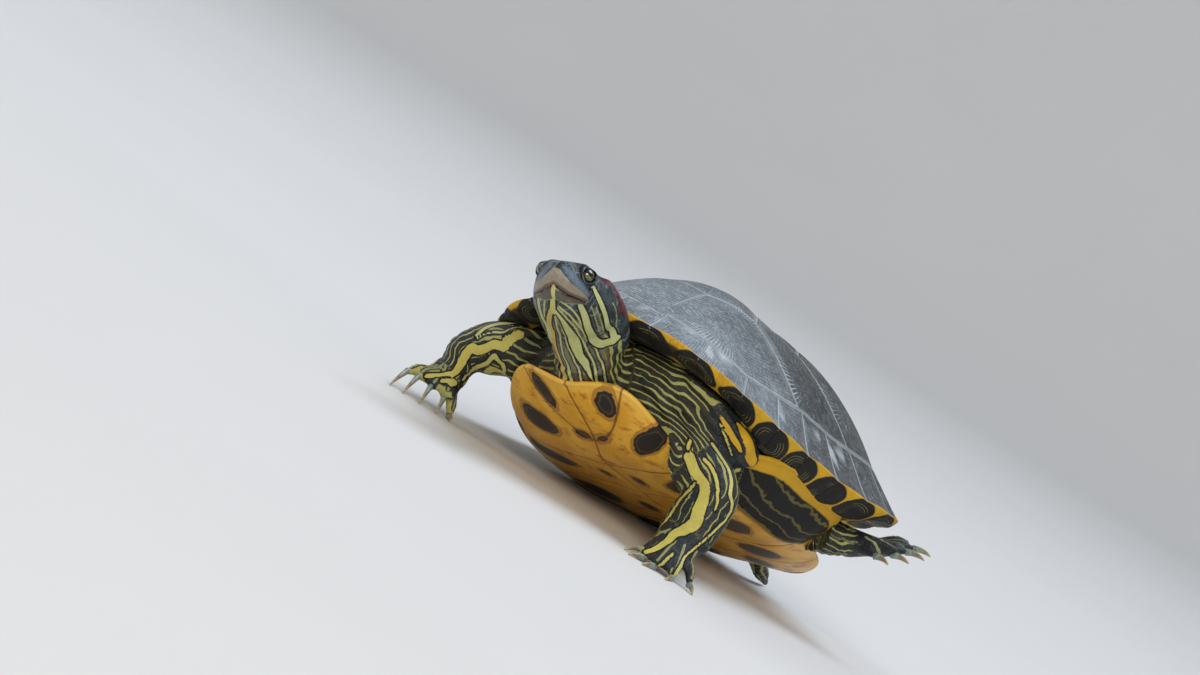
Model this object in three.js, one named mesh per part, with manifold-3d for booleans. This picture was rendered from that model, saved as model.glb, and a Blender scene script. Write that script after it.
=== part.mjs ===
// A life-size red-eared slider resting on a flat floor, propped on its left foreleg with the head held out.
//
// Every form is laid out in the turtle's own frame, in millimetres: X runs forward, Y to its left and Z
// through the back, with the widest line of the shell near Z = 0. One matrix then tips that frame on to the
// floor, where +Z is up and the head looks along -Y.
import * as THREE from "three";
import { LoftGeometry } from "three/addons/geometries/LoftGeometry.js";
import { mergeVertices } from "three/addons/utils/BufferGeometryUtils.js";
import Module from "manifold-3d";

const wasm = await Module();
wasm.setup();

// --- Driving dimensions -----------------------------------------------------------------------------------
const gap = 0.3; // clearance between neighbouring pieces
const shellGap = 0.6; // the same against the shell, whose swelling is only roughly even
const floorPitch = 0.18; // how far the floor falls for each millimetre forward
const floorRoll = 0.33; // how far it falls for each millimetre to the left
const floorDrop = 48.3; // floor under the middle of the shell

const domeHeight = 64; // back above the rim
const summit = -12; // the highest point of the back, forward of the middle
const wall = 4.5; // thickness of the back shell
const frontLift = 17; // rise of the rim over the neck
const rearLift = 12; // rise of the rim over the tail
const lipRatio = 0.87; // inner edge of the marginals, as a share of the rim's radius
const bellyLevel = -30; // underside of the plastron at mid-length
const bellySlope = -0.06; // it lies deeper towards the front
const plateThickness = 4; // plastron

// Where the seams between the marginal scutes meet the rim, from the nuchal scute back to the tail.
const marginSeams = [
  [109, 0], [108, 9], [101, 32], [87, 52], [66, 66], [42, 74], [18, 78], [-7, 81],
  [-32, 83.5], [-57, 82], [-78, 73], [-95, 54.5], [-106, 30], [-110, 0],
];

// Edge of the plastron and its bridges on the left side: front lobe, bridge, rear lobe and anal notch.
const plastronEdge = [
  [97, 0, -20.5], [97, 12, -18.5], [95, 22, -16.5], [90, 30, -17.5], [80, 37, -21.5], [67, 42, -25.5],
  [54, 45, -27.5], [46, 49, -26], [41, 62, -16], [22, 71, -9.5], [-8, 72.5, -9], [-34, 71.5, -8.5],
  [-43, 64, -12], [-49, 52, -20], [-64, 48, -20], [-82, 40, -20], [-98, 20, -21], [-95, 0, -22],
];

// --- Small tools ------------------------------------------------------------------------------------------
const vec = (p) => new THREE.Vector3(...p);
const clamp01 = (t) => Math.min(1, Math.max(0, t));
const smooth = (t) => clamp01(t) ** 2 * (3 - 2 * clamp01(t));
const floorZ = (x, y) => -floorPitch * x - floorRoll * y - floorDrop;
const onFloor = (x, y, height) => [x, y, floorZ(x, y) + height];

// Tips the turtle's frame on to the floor: floor normal to +Z, heading to -Y.
const up = new THREE.Vector3(floorPitch, floorRoll, 1).normalize();
const ahead = new THREE.Vector3(1, 0, 0).projectOnPlane(up).normalize();
const leftward = up.clone().cross(ahead);
const toFloor = new THREE.Matrix4()
  .makeBasis(leftward, ahead.clone().negate(), up)
  .transpose()
  .premultiply(new THREE.Matrix4().makeTranslation(0, 0, floorDrop * up.z));

function solidOf(geometry) {
  const { position } = geometry.attributes;
  const bare = new THREE.BufferGeometry().setAttribute("position", position).setIndex(geometry.index);
  const merged = mergeVertices(bare.applyMatrix4(toFloor), 1e-4);
  const made = (triVerts) =>
    new wasm.Manifold(
      new wasm.Mesh({ numProp: 3, vertProperties: merged.attributes.position.array, triVerts }),
    );
  const faces = new Uint32Array(merged.index.array);
  const solid = made(faces);
  return solid.volume() > 0 ? solid : made(faces.reverse());
}

const union = (solids) => solids.reduce((all, solid) => all.add(solid));
const biggest = (solid) =>
  solid.decompose().reduce((best, part) => (part.volume() > best.volume() ? part : best));

// Skins closed rings of points, with flat ends.
const loft = (sections) => new LoftGeometry(sections, { capStart: true, capEnd: true });

// A rounded limb through stations {at, wide, tall}: half width across, half height along the limb's top.
function limb(stations, { top = [0, 0, 1], sides = 12, rings = 10, endRings = 2, bulge = 0.8 } = {}) {
  const line = new THREE.CatmullRomCurve3(stations.map((s) => vec(s.at)), false, "centripetal");
  const size = (key, t) => {
    const place = t * (stations.length - 1);
    const i = Math.min(stations.length - 2, Math.floor(place));
    return THREE.MathUtils.lerp(stations[i][key], stations[i + 1][key], smooth(place - i));
  };
  const ring = (t, shrink, push) => {
    const along = line.getTangent(t);
    const side = vec(top).cross(along).normalize();
    const over = along.clone().cross(side);
    const middle = line.getPoint(t).addScaledVector(along, push * size("tall", t));
    return Array.from({ length: sides }, (_, i) => {
      const a = (i / sides) * 2 * Math.PI;
      return middle
        .clone()
        .addScaledVector(side, size("wide", t) * shrink * Math.cos(a))
        .addScaledVector(over, size("tall", t) * shrink * Math.sin(a));
    });
  };
  const sections = [];
  for (let i = endRings; i > 0; i--) {
    const a = (i / (endRings + 0.4)) * (Math.PI / 2);
    sections.push(ring(0, Math.cos(a), -bulge * Math.sin(a)));
  }
  for (let i = 0; i <= rings; i++) sections.push(ring(i / rings, 1, 0));
  for (let i = 1; i <= endRings; i++) {
    const a = (i / (endRings + 0.4)) * (Math.PI / 2);
    sections.push(ring(1, Math.cos(a), bulge * Math.sin(a)));
  }
  return loft(sections);
}

// A closed outline from the points of its left half, cut into equal lengths.
function outline(half, count) {
  const right = half.slice(1, -1).reverse().map(([x, y, z]) => [x, -y, z]);
  const points = [...half, ...right].map(([x, y, z = 0]) => vec([x, y, z]));
  return new THREE.CatmullRomCurve3(points, true, "centripetal").getSpacedPoints(count).slice(0, count);
}

// --- Shell ------------------------------------------------------------------------------------------------
const rimLift = (x) =>
  frontLift * clamp01((x - 10) / 100) ** 2.1 + rearLift * clamp01((-x - 10) / 80) ** 1.5;
const bridgeShare = (x) => 1 - smooth((Math.abs(x - 2) - 40) / 32);
const outlineSteps = 38; // points round each shell
const rim = outline(marginSeams, outlineSteps);

// A ring of the back shell: share is its radius against the rim's, rise its height over the rim's line.
function shellRing(share, rise, grow = 0) {
  return rim.map((p) => {
    const out = vec([p.x, p.y, 0]).normalize().multiplyScalar(grow);
    const x = (p.x - summit) * share + summit;
    return vec([x + out.x, p.y * share + out.y, rimLift(p.x) * share + rise(p.x)]);
  });
}
const domeRing = (share, inset, grow) =>
  shellRing(
    share * (1 - inset / 95),
    () => (domeHeight - inset) * (1 - share ** 2.1) ** 1.2 + grow * (1 - share),
    grow * share,
  );

// The hollow of the back shell as a block open below; grow shrinks it, as the shell round it thickens.
function hollowSolid(grow = 0) {
  const inner = [0.18, 0.55, 0.85].map((share) => domeRing(share, wall, -grow));
  const skirt = [-4, -40].map((z) => shellRing(lipRatio - 0.035, () => z, -grow));
  return solidOf(loft([...inner, ...skirt].reverse()));
}

// The back shell, domed above, with the marginals turned in below. grow swells it on every face.
function carapaceSolid(grow = 0) {
  const outside = [0.12, 0.27, 0.43, 0.59, 0.74, 0.87, 0.95, 1].map((share) => domeRing(share, 0, grow));
  const drop = (x) => -3 - 7 * bridgeShare(x);
  const under = [
    shellRing(0.985, () => -2.2 - grow, grow),
    shellRing(0.93, (x) => -2 + 0.62 * (drop(x) + 2) - grow, grow / 2),
    shellRing(lipRatio, (x) => drop(x) - 1.5 * grow, grow / 2),
    shellRing(0.7, () => -20),
  ];
  return solidOf(loft([...outside, ...under].reverse())).subtract(hollowSolid(grow));
}

const bellyZ = (x) => bellyLevel + bellySlope * x + 14 * clamp01((x - 50) / 46) ** 1.4;

// The belly shell with its bridges, dished like a shallow boat.
function plastronGeometry(grow = 0) {
  const edge = outline(plastronEdge, outlineSteps);
  const outward = edge.map((p, i) => {
    const along = edge[(i + 1) % edge.length].clone().sub(edge.at(i - 1));
    return vec([along.y, -along.x, 0]).normalize();
  });
  const layer = (share, offset, spread) =>
    edge.map((p, i) => {
      const floor = bellyZ(p.x * share);
      const rise = (p.z - bellyZ(p.x)) * share ** 7;
      const out = outward[i].clone().multiplyScalar(spread * share ** 2);
      const swell = Math.sign(offset - plateThickness / 2) * 1.5 * (1 - share);
      return vec([p.x * share + out.x, p.y * share + out.y, floor + rise + offset + swell]);
    });
  return loft([
    ...[0.05, 0.45, 0.7, 0.85, 0.95].map((s) => layer(s, -grow, grow)),
    layer(1, 0.9 - grow / 2, grow),
    layer(1, 2.4 + grow, grow),
    ...[0.94, 0.75, 0.4, 0.05].map((s) => layer(s, plateThickness + grow, -grow)),
  ]);
}

// --- Soft body --------------------------------------------------------------------------------------------
const trunkForm = () =>
  limb(
    [
      { at: [-84, 0, -8], wide: 32, tall: 11 },
      { at: [-40, 0, 0], wide: 44, tall: 21 },
      { at: [30, 0, 0], wide: 52, tall: 23 },
      { at: [68, 0, -4], wide: 46, tall: 21 },
    ],
    { sides: 12, rings: 4, bulge: 0.35 },
  );

const neckForm = () =>
  limb(
    [
      { at: [56, 0, -8], wide: 19, tall: 16 },
      { at: [86, 3, -7], wide: 14, tall: 14 },
      { at: [103, 5, 1], wide: 13.5, tall: 13.5 },
      { at: [122, 6.5, 6], wide: 13.5, tall: 13 },
    ],
    { sides: 12, rings: 4 },
  );

// The head is laid out back from the tip of its nose, which points left of the body's heading.
const nose = vec([160, 18.7, 10]);
const headYaw = 15; // degrees, to the left
const headPitch = -5; // nose down
const headRoll = 9; // left side up
const headStations = [
  // behind the nose, half width, crown, jaw line
  [0, 3.0, 2.2, -4.8], [2.5, 6.4, 3.8, -9.8], [7, 9.8, 5.6, -13.2], [13, 12.6, 7.2, -15.8],
  [20, 15.2, 8.4, -18.0], [29, 17.6, 8.2, -19.6], [37, 17.8, 6.4, -19.8], [45, 15.0, 3.4, -17.8],
];
const radians = THREE.MathUtils.degToRad;
const turned = new THREE.Euler(radians(headRoll), radians(-headPitch), radians(headYaw), "ZYX");
const headPoint = (d, y, z) => vec([-d, y, z]).applyEuler(turned).add(nose).toArray();

function headForm() {
  const sides = 16;
  const flatness = 2.3; // superellipse power of a cross-section
  const sections = headStations.map(([d, wide, crown, jaw]) =>
    Array.from({ length: sides }, (_, i) => {
      const a = (i / sides) * 2 * Math.PI;
      const power = (t) => Math.sign(t) * Math.abs(t) ** (2 / flatness);
      const tall = (crown - jaw) / 2;
      const narrow = 1 - 0.16 * clamp01(-Math.sin(a)); // the jaws are narrower than the cheeks
      const across = wide * narrow * power(Math.cos(a));
      return vec(headPoint(d, across, crown - tall + tall * power(Math.sin(a))));
    }),
  );
  return loft(sections.reverse());
}

const eyeRadius = 4;
const eyeAt = (side) => headPoint(12.3, side * 8.6, 1.2);

// Forelegs: shoulder, elbow, wrist. Hind legs: hip, knee, ankle.
const legForms = {
  foreleg_left: {
    top: [1, 0.3, 0.2],
    stations: [
      { at: [60, 30, -14], wide: 15, tall: 14 },
      { at: [53, 46, -24], wide: 13.5, tall: 13 },
      { at: [48.5, 59.5, -35], wide: 11.5, tall: 11 },
      { at: [50.5, 59.5, -47], wide: 12.5, tall: 9 },
      { at: [52.5, 58, -58], wide: 12.5, tall: 7 },
    ],
  },
  foreleg_right: {
    top: [0.3, 0.2, 1],
    stations: [
      { at: [62, -24, -8], wide: 15, tall: 13 },
      { at: [76, -42, -3], wide: 12.5, tall: 12.5 },
      { at: [76, -57, -4], wide: 12, tall: 12 },
      { at: [77, -68, -9], wide: 10, tall: 9.5 },
      { at: [76, -73, -19], wide: 9.5, tall: 7 },
    ],
  },
  hindleg_left: {
    top: [0, 0.2, 1],
    stations: [
      { at: [-50, 26, -8], wide: 17, tall: 13 },
      { at: [-44, 46, -12], wide: 13, tall: 11 },
      { at: [-48, 60, -13], wide: 10, tall: 8.5 },
      { at: [-57, 68, -11], wide: 8.5, tall: 6.5 },
    ],
  },
  hindleg_right: {
    top: [0, -0.2, 1],
    stations: [
      { at: [-52, -28, -8], wide: 17, tall: 12 },
      { at: [-52, -46, -12], wide: 12, tall: 8 },
      { at: onFloor(-62, -64, 7.5), wide: 9.5, tall: 6 },
      { at: onFloor(-72, -75, 6), wide: 9, tall: 5.5 },
    ],
  },
};

// Feet: the palm runs from the wrist to the knuckles, and each toe on to its end, where its claw begins.
const footForms = {
  forefoot_left: {
    wrist: [52.5, 58, -58],
    cuff: 11.5,
    tips: [
      { toe: onFloor(62.8, 48.2, 4), claw: onFloor(70.3, 44.1, 0.1) },
      { toe: onFloor(67.4, 52.4, 1.4), claw: onFloor(75.5, 50.6, 0.1) },
      { toe: onFloor(66.6, 58.8, 1.1), claw: onFloor(75.2, 58.8, 0.1) },
      { toe: onFloor(61.5, 66, 1.1), claw: onFloor(69, 68.6, 0.1) },
      { toe: onFloor(53.6, 70.7, 2.4), claw: onFloor(57.5, 76.5, 0.1) },
    ],
    toeRadius: 3.1,
  },
  forefoot_right: {
    wrist: [76, -73, -19],
    tips: [
      { toe: onFloor(95, -81.5, 8.5), claw: onFloor(102.5, -81, 0.1) },
      { toe: onFloor(92, -77, 9), claw: onFloor(99, -75.5, 0.1) },
      { toe: onFloor(88, -71.5, 8), claw: onFloor(93.5, -69, 0.1) },
      { toe: onFloor(82.5, -66.5, 7), claw: onFloor(87, -63.5, 0.1) },
      { toe: onFloor(76, -64.5, 1.2), claw: onFloor(78.5, -61, 0.1) },
    ],
    toeRadius: 3.1,
  },
  hindfoot_left: {
    wrist: [-57, 68, -11],
    tips: [
      { toe: [-52, 86, -16], claw: [-51, 94, -18.5] },
      { toe: [-57, 91, -12], claw: [-57, 100, -14] },
      { toe: [-64, 93, -7], claw: [-65, 102, -8.5] },
      { toe: [-70, 92, -3], claw: [-72, 100, -4] },
      { toe: [-74, 86, 0] },
    ],
    toeRadius: 3,
  },
  hindfoot_right: {
    wrist: onFloor(-72, -75, 6),
    tips: [
      { toe: onFloor(-78, -97, 2), claw: onFloor(-80, -106, 0.1) },
      { toe: onFloor(-87, -99, 2), claw: onFloor(-91, -108, 0.1) },
      { toe: onFloor(-95, -97, 2), claw: onFloor(-101, -105, 0.1) },
      { toe: onFloor(-101, -91, 2), claw: onFloor(-109, -97, 0.1) },
      { toe: onFloor(-103, -82, 2) },
    ],
    toeRadius: 3,
  },
};

const between = (a, b, t) => vec(a).lerp(vec(b), t).toArray();

function footForm({ wrist, tips, toeRadius, cuff = 8.5 }) {
  const middle = tips[2].toe;
  const spread = vec(tips[0].toe).distanceTo(vec(tips[4].toe)) / 2;
  const palm = limb(
    [
      { at: wrist, wide: cuff, tall: 6 },
      { at: between(wrist, middle, 0.5), wide: spread * 0.72, tall: 4.2 },
      { at: between(wrist, middle, 0.86), wide: spread * 0.86, tall: 1.6 },
    ],
    { top: up.toArray(), sides: 8, rings: 2, endRings: 1, bulge: 0.5 },
  );
  const toes = tips.map(({ toe }) => {
    const root = between(wrist, toe, 0.45);
    const joint = vec(root).lerp(vec(toe), 0.55).addScaledVector(up, 1.4).toArray();
    return limb(
      [
        { at: root, wide: toeRadius, tall: toeRadius },
        { at: joint, wide: toeRadius, tall: toeRadius },
        { at: toe, wide: toeRadius * 0.75, tall: toeRadius * 0.75 },
      ],
      { top: up.toArray(), sides: 5, rings: 2, endRings: 1, bulge: 0.4 },
    );
  });
  return [palm, ...toes];
}

// A claw: a curved cone that starts just past the toe's end and arches down to its point.
function clawForm({ toe, claw }) {
  const root = vec(toe).add(vec(claw).sub(vec(toe)).setLength(2.6));
  const arch = root.clone().lerp(vec(claw), 0.55).addScaledVector(up, 1.6);
  const line = new THREE.QuadraticBezierCurve3(root, arch, vec(claw));
  const steps = 3;
  const sides = 5;
  const sections = Array.from({ length: steps + 1 }, (_, i) => {
    const t = i / steps;
    const along = line.getTangent(t);
    const side = up.clone().cross(along).normalize();
    const over = along.clone().cross(side);
    const radius = 1.3 * (1 - t) ** 0.7 + 0.45;
    return Array.from({ length: sides }, (_, k) => {
      const a = (k / sides) * 2 * Math.PI;
      const across = side.clone().multiplyScalar(radius * 0.85 * Math.cos(a));
      return line.getPoint(t).add(across).addScaledVector(over, radius * Math.sin(a));
    });
  });
  return loft(sections);
}

const tailForm = () =>
  limb(
    [
      { at: [-72, 0, -10], wide: 12, tall: 9 },
      { at: [-92, -2, -12], wide: 7, tall: 5.5 },
      { at: [-112, -6, -18], wide: 4, tall: 3.4 },
      { at: onFloor(-132, -13, 1.8), wide: 1.7, tall: 1.5 },
    ],
    { sides: 8, rings: 5 },
  );

// --- Cuts -------------------------------------------------------------------------------------------------
// A thin disc that severs a limb at a point, facing along the limb.
function cutDisc({ at, facing, radius }) {
  const turn = new THREE.Quaternion().setFromUnitVectors(vec([0, 1, 0]), vec(facing).normalize());
  const disc = new THREE.CylinderGeometry(radius, radius, gap, 12).applyQuaternion(turn);
  return solidOf(disc.translate(...at));
}

const away = (from, to) => vec(to).sub(vec(from)).toArray();
const legCuts = Object.values(legForms).flatMap(({ stations }) => {
  const [root, first, second, third, end] = stations.map((s) => s.at);
  const last = end ?? third;
  const before = end ? third : second;
  return [
    { at: between(first, second, 0.4), facing: away(root, second), radius: stations[1].wide * 1.4 },
    { at: between(before, last, 0.7), facing: away(before, last), radius: 13 },
  ];
});
const cuts = [
  ...legCuts,
  { at: [84, 2.8, -7.5], facing: [1, 0.1, 0.25], radius: 20 },
  { at: headPoint(43, 0, -6), facing: away(headPoint(43, 0, -6), headPoint(42, 0, -6)), radius: 26 },
  { at: [-88, -1, -11.5], facing: [-1, -0.1, -0.1], radius: 11 },
];

// The mouth: a slit back from the beak, and a step down behind its corner that frees the lower jaw.
const mouthBack = 16.5; // behind the nose
const mouthDrop = -8.2; // below the nose
const headPlace = new THREE.Matrix4().makeRotationFromEuler(turned).setPosition(nose);
const headSlab = (size, middle) =>
  solidOf(new THREE.BoxGeometry(...size).translate(...middle).applyMatrix4(headPlace));
const mouthCuts = [
  headSlab([mouthBack + 4, 40, gap], [2 - mouthBack / 2, 0, mouthDrop]),
  headSlab([gap, 40, 16], [-mouthBack, 0, mouthDrop - 8]),
];

// --- Assembly ---------------------------------------------------------------------------------------------
const paint = {
  shell: [0x4b5052, 0.75],
  belly: [0xc98a2a, 0.5],
  skin: [0x3a4034, 0.7],
  eye: [0xa8a84a, 0.2],
  claw: [0x8d8468, 0.5],
};
const turtle = new THREE.Group();
turtle.name = "turtle";

function addMesh(name, solid, [color, roughness]) {
  const { vertProperties, triVerts } = solid.getMesh();
  const geometry = new THREE.BufferGeometry()
    .setAttribute("position", new THREE.BufferAttribute(new Float32Array(vertProperties), 3))
    .setIndex(new THREE.BufferAttribute(new Uint32Array(triVerts), 1));
  geometry.computeVertexNormals();
  const mesh = new THREE.Mesh(geometry, new THREE.MeshStandardMaterial({ color, roughness }));
  mesh.name = name;
  turtle.add(mesh);
}

// Everything below the floor, as a block in the turtle's frame.
const underFloor = solidOf(
  new THREE.BoxGeometry(500, 500, 60).translate(0, 0, -30).applyMatrix4(toFloor.clone().invert()),
);

addMesh("carapace", carapaceSolid(), paint.shell);
addMesh(
  "plastron",
  biggest(solidOf(plastronGeometry()).subtract(carapaceSolid(shellGap)).subtract(underFloor)),
  paint.belly,
);

const eyeball = (side, radius) =>
  solidOf(new THREE.SphereGeometry(radius, 10, 6).translate(...eyeAt(side)));
addMesh("eye_left", eyeball(1, eyeRadius), paint.eye);
addMesh("eye_right", eyeball(-1, eyeRadius), paint.eye);

for (const [foot, { tips }] of Object.entries(footForms)) {
  tips.filter((tip) => tip.claw).forEach((tip, i) => {
    const name = `${foot.replace("foot", "claw")}_${i + 1}`;
    addMesh(name, solidOf(clawForm(tip)).subtract(underFloor), paint.claw);
  });
}

// The soft body in one piece, cleared of the shell, the eyes and the floor, then parted at its joints.
const softBody = union([
  ...[trunkForm(), neckForm(), tailForm(), headForm()].map(solidOf),
  ...Object.values(legForms)
    .map(({ stations, top }) => solidOf(limb(stations, { top, sides: 10, rings: 5 }))),
  ...Object.values(footForms).flatMap(footForm).map(solidOf),
]);
const taken = [
  carapaceSolid(shellGap), solidOf(plastronGeometry(shellGap)), underFloor, eyeball(1, eyeRadius + gap),
  eyeball(-1, eyeRadius + gap), ...cuts.map(cutDisc), ...mouthCuts,
];
const pieces = taken.reduce((body, solid) => body.subtract(solid), softBody).decompose();

// Each named piece is the one whose middle lies nearest its own mark.
const marks = {
  trunk: [-5, 0, -2],
  neck: [100, 4, -2],
  head: headPoint(26, 0, -4),
  lower_jaw: headPoint(10, 0, -12),
  tail: [-110, -6, -18],
};
for (const [name, { stations }] of Object.entries(legForms)) marks[name] = stations[2].at;
for (const [name, { wrist, tips }] of Object.entries(footForms)) {
  marks[name] = between(wrist, tips[2].toe, 0.5);
}
for (const [name, mark] of Object.entries(marks)) {
  const target = vec(mark).applyMatrix4(toFloor);
  const distance = (piece) => {
    const { min, max } = piece.boundingBox();
    return vec(min).add(vec(max)).multiplyScalar(0.5).distanceTo(target);
  };
  const solid = pieces
    .filter((piece) => piece.volume() > 150)
    .reduce((best, piece) => (distance(piece) < distance(best) ? piece : best));
  addMesh(name, solid, paint.skin);
}

// Centre the footprint on the origin.
const reach = new THREE.Box3().setFromObject(turtle).getCenter(new THREE.Vector3());
turtle.position.set(-reach.x, -reach.y, 0);

export default turtle;
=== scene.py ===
import math
import random
from functools import partial

import bpy
import numpy as np
from mathutils import Matrix, Vector
from mathutils.bvhtree import BVHTree
from mathutils.kdtree import KDTree


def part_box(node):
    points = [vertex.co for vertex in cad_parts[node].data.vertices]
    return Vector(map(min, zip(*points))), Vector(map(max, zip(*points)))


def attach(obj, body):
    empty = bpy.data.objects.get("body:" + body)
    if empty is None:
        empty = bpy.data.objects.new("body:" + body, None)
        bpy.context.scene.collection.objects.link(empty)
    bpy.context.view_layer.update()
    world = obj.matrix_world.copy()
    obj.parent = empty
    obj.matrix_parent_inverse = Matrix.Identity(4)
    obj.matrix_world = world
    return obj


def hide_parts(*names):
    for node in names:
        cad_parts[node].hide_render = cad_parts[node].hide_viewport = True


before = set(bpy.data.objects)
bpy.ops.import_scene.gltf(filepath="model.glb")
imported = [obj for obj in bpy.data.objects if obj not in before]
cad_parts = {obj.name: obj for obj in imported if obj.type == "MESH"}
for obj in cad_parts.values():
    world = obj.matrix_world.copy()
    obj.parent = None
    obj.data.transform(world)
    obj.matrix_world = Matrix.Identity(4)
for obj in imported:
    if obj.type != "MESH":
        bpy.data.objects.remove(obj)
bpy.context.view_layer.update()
print("frame loaded:", len(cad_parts), "nodes")

# Shapes are worked out in the turtle's own frame, in millimetres: X forward, Y to its left, Z through the
# back. Its floor falls forward and to the left, some way under the middle of the shell.
floor = {"pitch": 0.18, "roll": 0.33, "drop": 48.3}


def unit(v):
    return np.asarray(v, float) / np.linalg.norm(v)


def unitRows(v):
    return v / np.linalg.norm(v, axis=-1, keepdims=True)


up = unit([floor["pitch"], floor["roll"], 1])
forwards = unit(np.array([1.0, 0, 0]) - up * up[0])
turn = np.array([np.cross(up, forwards), -forwards, up])  # rows: the turtle's left, backwards, up


def onFloor(x, y, height):
    return [x, y, -floor["pitch"] * x - floor["roll"] * y - floor["drop"] + height]


def keepOffFloor(points, gap=0.0):
    points[:, 2] = np.maximum(points[:, 2], onFloor(points[:, 0], points[:, 1], gap)[2])


def toRow(points):  # the same places in the part's own frame, in metres
    return (np.asarray(points, float) @ turn.T + shift) / 1000


def clamp01(t):
    return np.clip(t, 0, 1)


def smooth(t):
    t = clamp01(t)
    return t * t * (3 - 2 * t)


def curveAt(points, t, closed=False):  # a smooth line through points, which need not be evenly spaced
    p = np.asarray(points, float)
    n = len(p)
    t = np.atleast_1d(np.asarray(t, float))
    spans = n if closed else n - 1
    i = np.floor(t * spans).astype(int)
    i = i % n if closed else np.clip(i, 0, spans - 1)
    w = (t * spans - np.floor(t * spans) if closed else t * spans - i)[:, None]
    p1, p2 = p[i], p[(i + 1) % n]
    if closed:
        p0, p3 = p[(i - 1) % n], p[(i + 2) % n]
    else:
        p0 = np.where((i > 0)[:, None], p[np.maximum(i - 1, 0)], 2 * p[0] - p[1])
        p3 = np.where((i + 2 < n)[:, None], p[np.minimum(i + 2, n - 1)], 2 * p[-1] - p[-2])
    d0, d1, d2 = (np.maximum(np.linalg.norm(b - a, axis=1, keepdims=True) ** 0.5, 1e-4)
                  for a, b in ((p0, p1), (p1, p2), (p2, p3)))
    t1 = ((p1 - p0) / d0 - (p2 - p0) / (d0 + d1) + (p2 - p1) / d1) * d1
    t2 = ((p2 - p1) / d1 - (p3 - p1) / (d1 + d2) + (p3 - p2) / d2) * d1
    return p1 + t1 * w + (3 * (p2 - p1) - 2 * t1 - t2) * w**2 + (2 * (p1 - p2) + t1 + t2) * w**3


def runAlong(p):  # the distance along a line at each of its points
    return np.concatenate([[0], np.cumsum(np.linalg.norm(np.diff(p, axis=0), axis=1))])


def cutEvenly(p, count):  # a closed outline cut into equal lengths
    p = np.vstack([p, p[:1]])
    run = runAlong(p)
    at = np.linspace(0, run[-1], count, endpoint=False)
    return np.stack([np.interp(at, run, column) for column in p.T], 1)


def evenly(points, count):  # the same for the smooth closed line through a few points
    return cutEvenly(curveAt(points, np.linspace(0, 1, 4000, endpoint=False), True), count)


def turnNumber(angle, count):  # an angle as the number of its step, when a turn has that many
    return np.rint((angle % (2 * math.pi)) / (2 * math.pi) * count).astype(int) % count


def normalsBy(place, chart, stepA, stepB):  # a surface's normals, from its two parameters
    along = place(chart + [stepA, 0]) - place(chart - [stepA, 0])
    across = place(chart + [0, stepB]) - place(chart - [0, stepB])
    return unitRows(np.cross(along, across))


def nothingSelected():
    if bpy.context.object and bpy.context.object.mode != "OBJECT":
        bpy.ops.object.mode_set(mode="OBJECT")
    bpy.ops.object.select_all(action="DESELECT")


def only(piece):
    nothingSelected()
    piece.select_set(True)
    bpy.context.view_layer.objects.active = piece


def pointsOf(piece):
    co = np.zeros(len(piece.data.vertices) * 3, np.float32)
    piece.data.vertices.foreach_get("co", co)
    return co.reshape(-1, 3).astype(float)


def setPoints(piece, points):
    piece.data.vertices.foreach_set("co", np.asarray(points, np.float32).ravel())
    piece.data.update()


def normalsOf(piece):
    n = np.zeros(len(piece.data.vertices) * 3, np.float32)
    piece.data.vertex_normals.foreach_get("vector", n)
    return n.reshape(-1, 3).astype(float)


def treeOf(piece):
    faces = [tuple(face.vertices) for face in piece.data.polygons]
    return BVHTree.FromPolygons([tuple(q) for q in pointsOf(piece)], faces)


def addBall(name, sides, rings):  # a ball, with the ring and the angle of each of its vertices
    nothingSelected()
    bpy.ops.mesh.primitive_uv_sphere_add(segments=sides, ring_count=rings, radius=1)
    piece = bpy.context.object
    piece.name = piece.data.name = name
    co = pointsOf(piece)
    ring = np.rint(np.arccos(np.clip(co[:, 2], -1, 1)) / math.pi * rings)
    return piece, ring, np.arctan2(co[:, 1], co[:, 0])


def editMesh(**steps):  # mesh operators by name, each with its one setting
    bpy.ops.object.mode_set(mode="EDIT")
    for step, (setting, value) in steps.items():
        getattr(bpy.ops.mesh, step)(**{setting: value})
    bpy.ops.object.mode_set(mode="OBJECT")


def turnOutwards(piece):
    only(piece)
    editMesh(select_all=("action", "SELECT"), normals_make_consistent=("inside", False))


def applyModifier(piece, kind, **settings):
    only(piece)
    mod = piece.modifiers.new(kind.lower(), kind)
    for key, value in settings.items():
        setattr(mod, key, value)
    bpy.ops.object.modifier_apply(modifier=mod.name)


def addField(piece, name, values):  # one number for each vertex, read by the materials
    field = piece.data.attributes.new(name, "FLOAT", "POINT")
    field.data.foreach_set("value", np.asarray(values, np.float32))


def finishPiece(piece, material, nodes=(), angle=60):  # moves a piece to its place in the frame
    setPoints(piece, toRow(pointsOf(piece)))
    turnOutwards(piece)
    only(piece)
    bpy.ops.object.shade_smooth_by_angle(angle=math.radians(angle))
    piece.data.materials.clear()
    piece.data.materials.append(material)
    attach(piece, "root")
    if nodes:
        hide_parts(*nodes)


def joinPieces(pieces, name):
    only(pieces[0])
    for piece in pieces:
        piece.select_set(True)
    bpy.ops.object.join()
    pieces[0].name = pieces[0].data.name = name
    return pieces[0]


def toLinear(hexCode):
    part = [int(hexCode[i:i + 2], 16) / 255 for i in (1, 3, 5)]
    return [c / 12.92 if c <= 0.04045 else ((c + 0.055) / 1.055) ** 2.4 for c in part] + [1]


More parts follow.
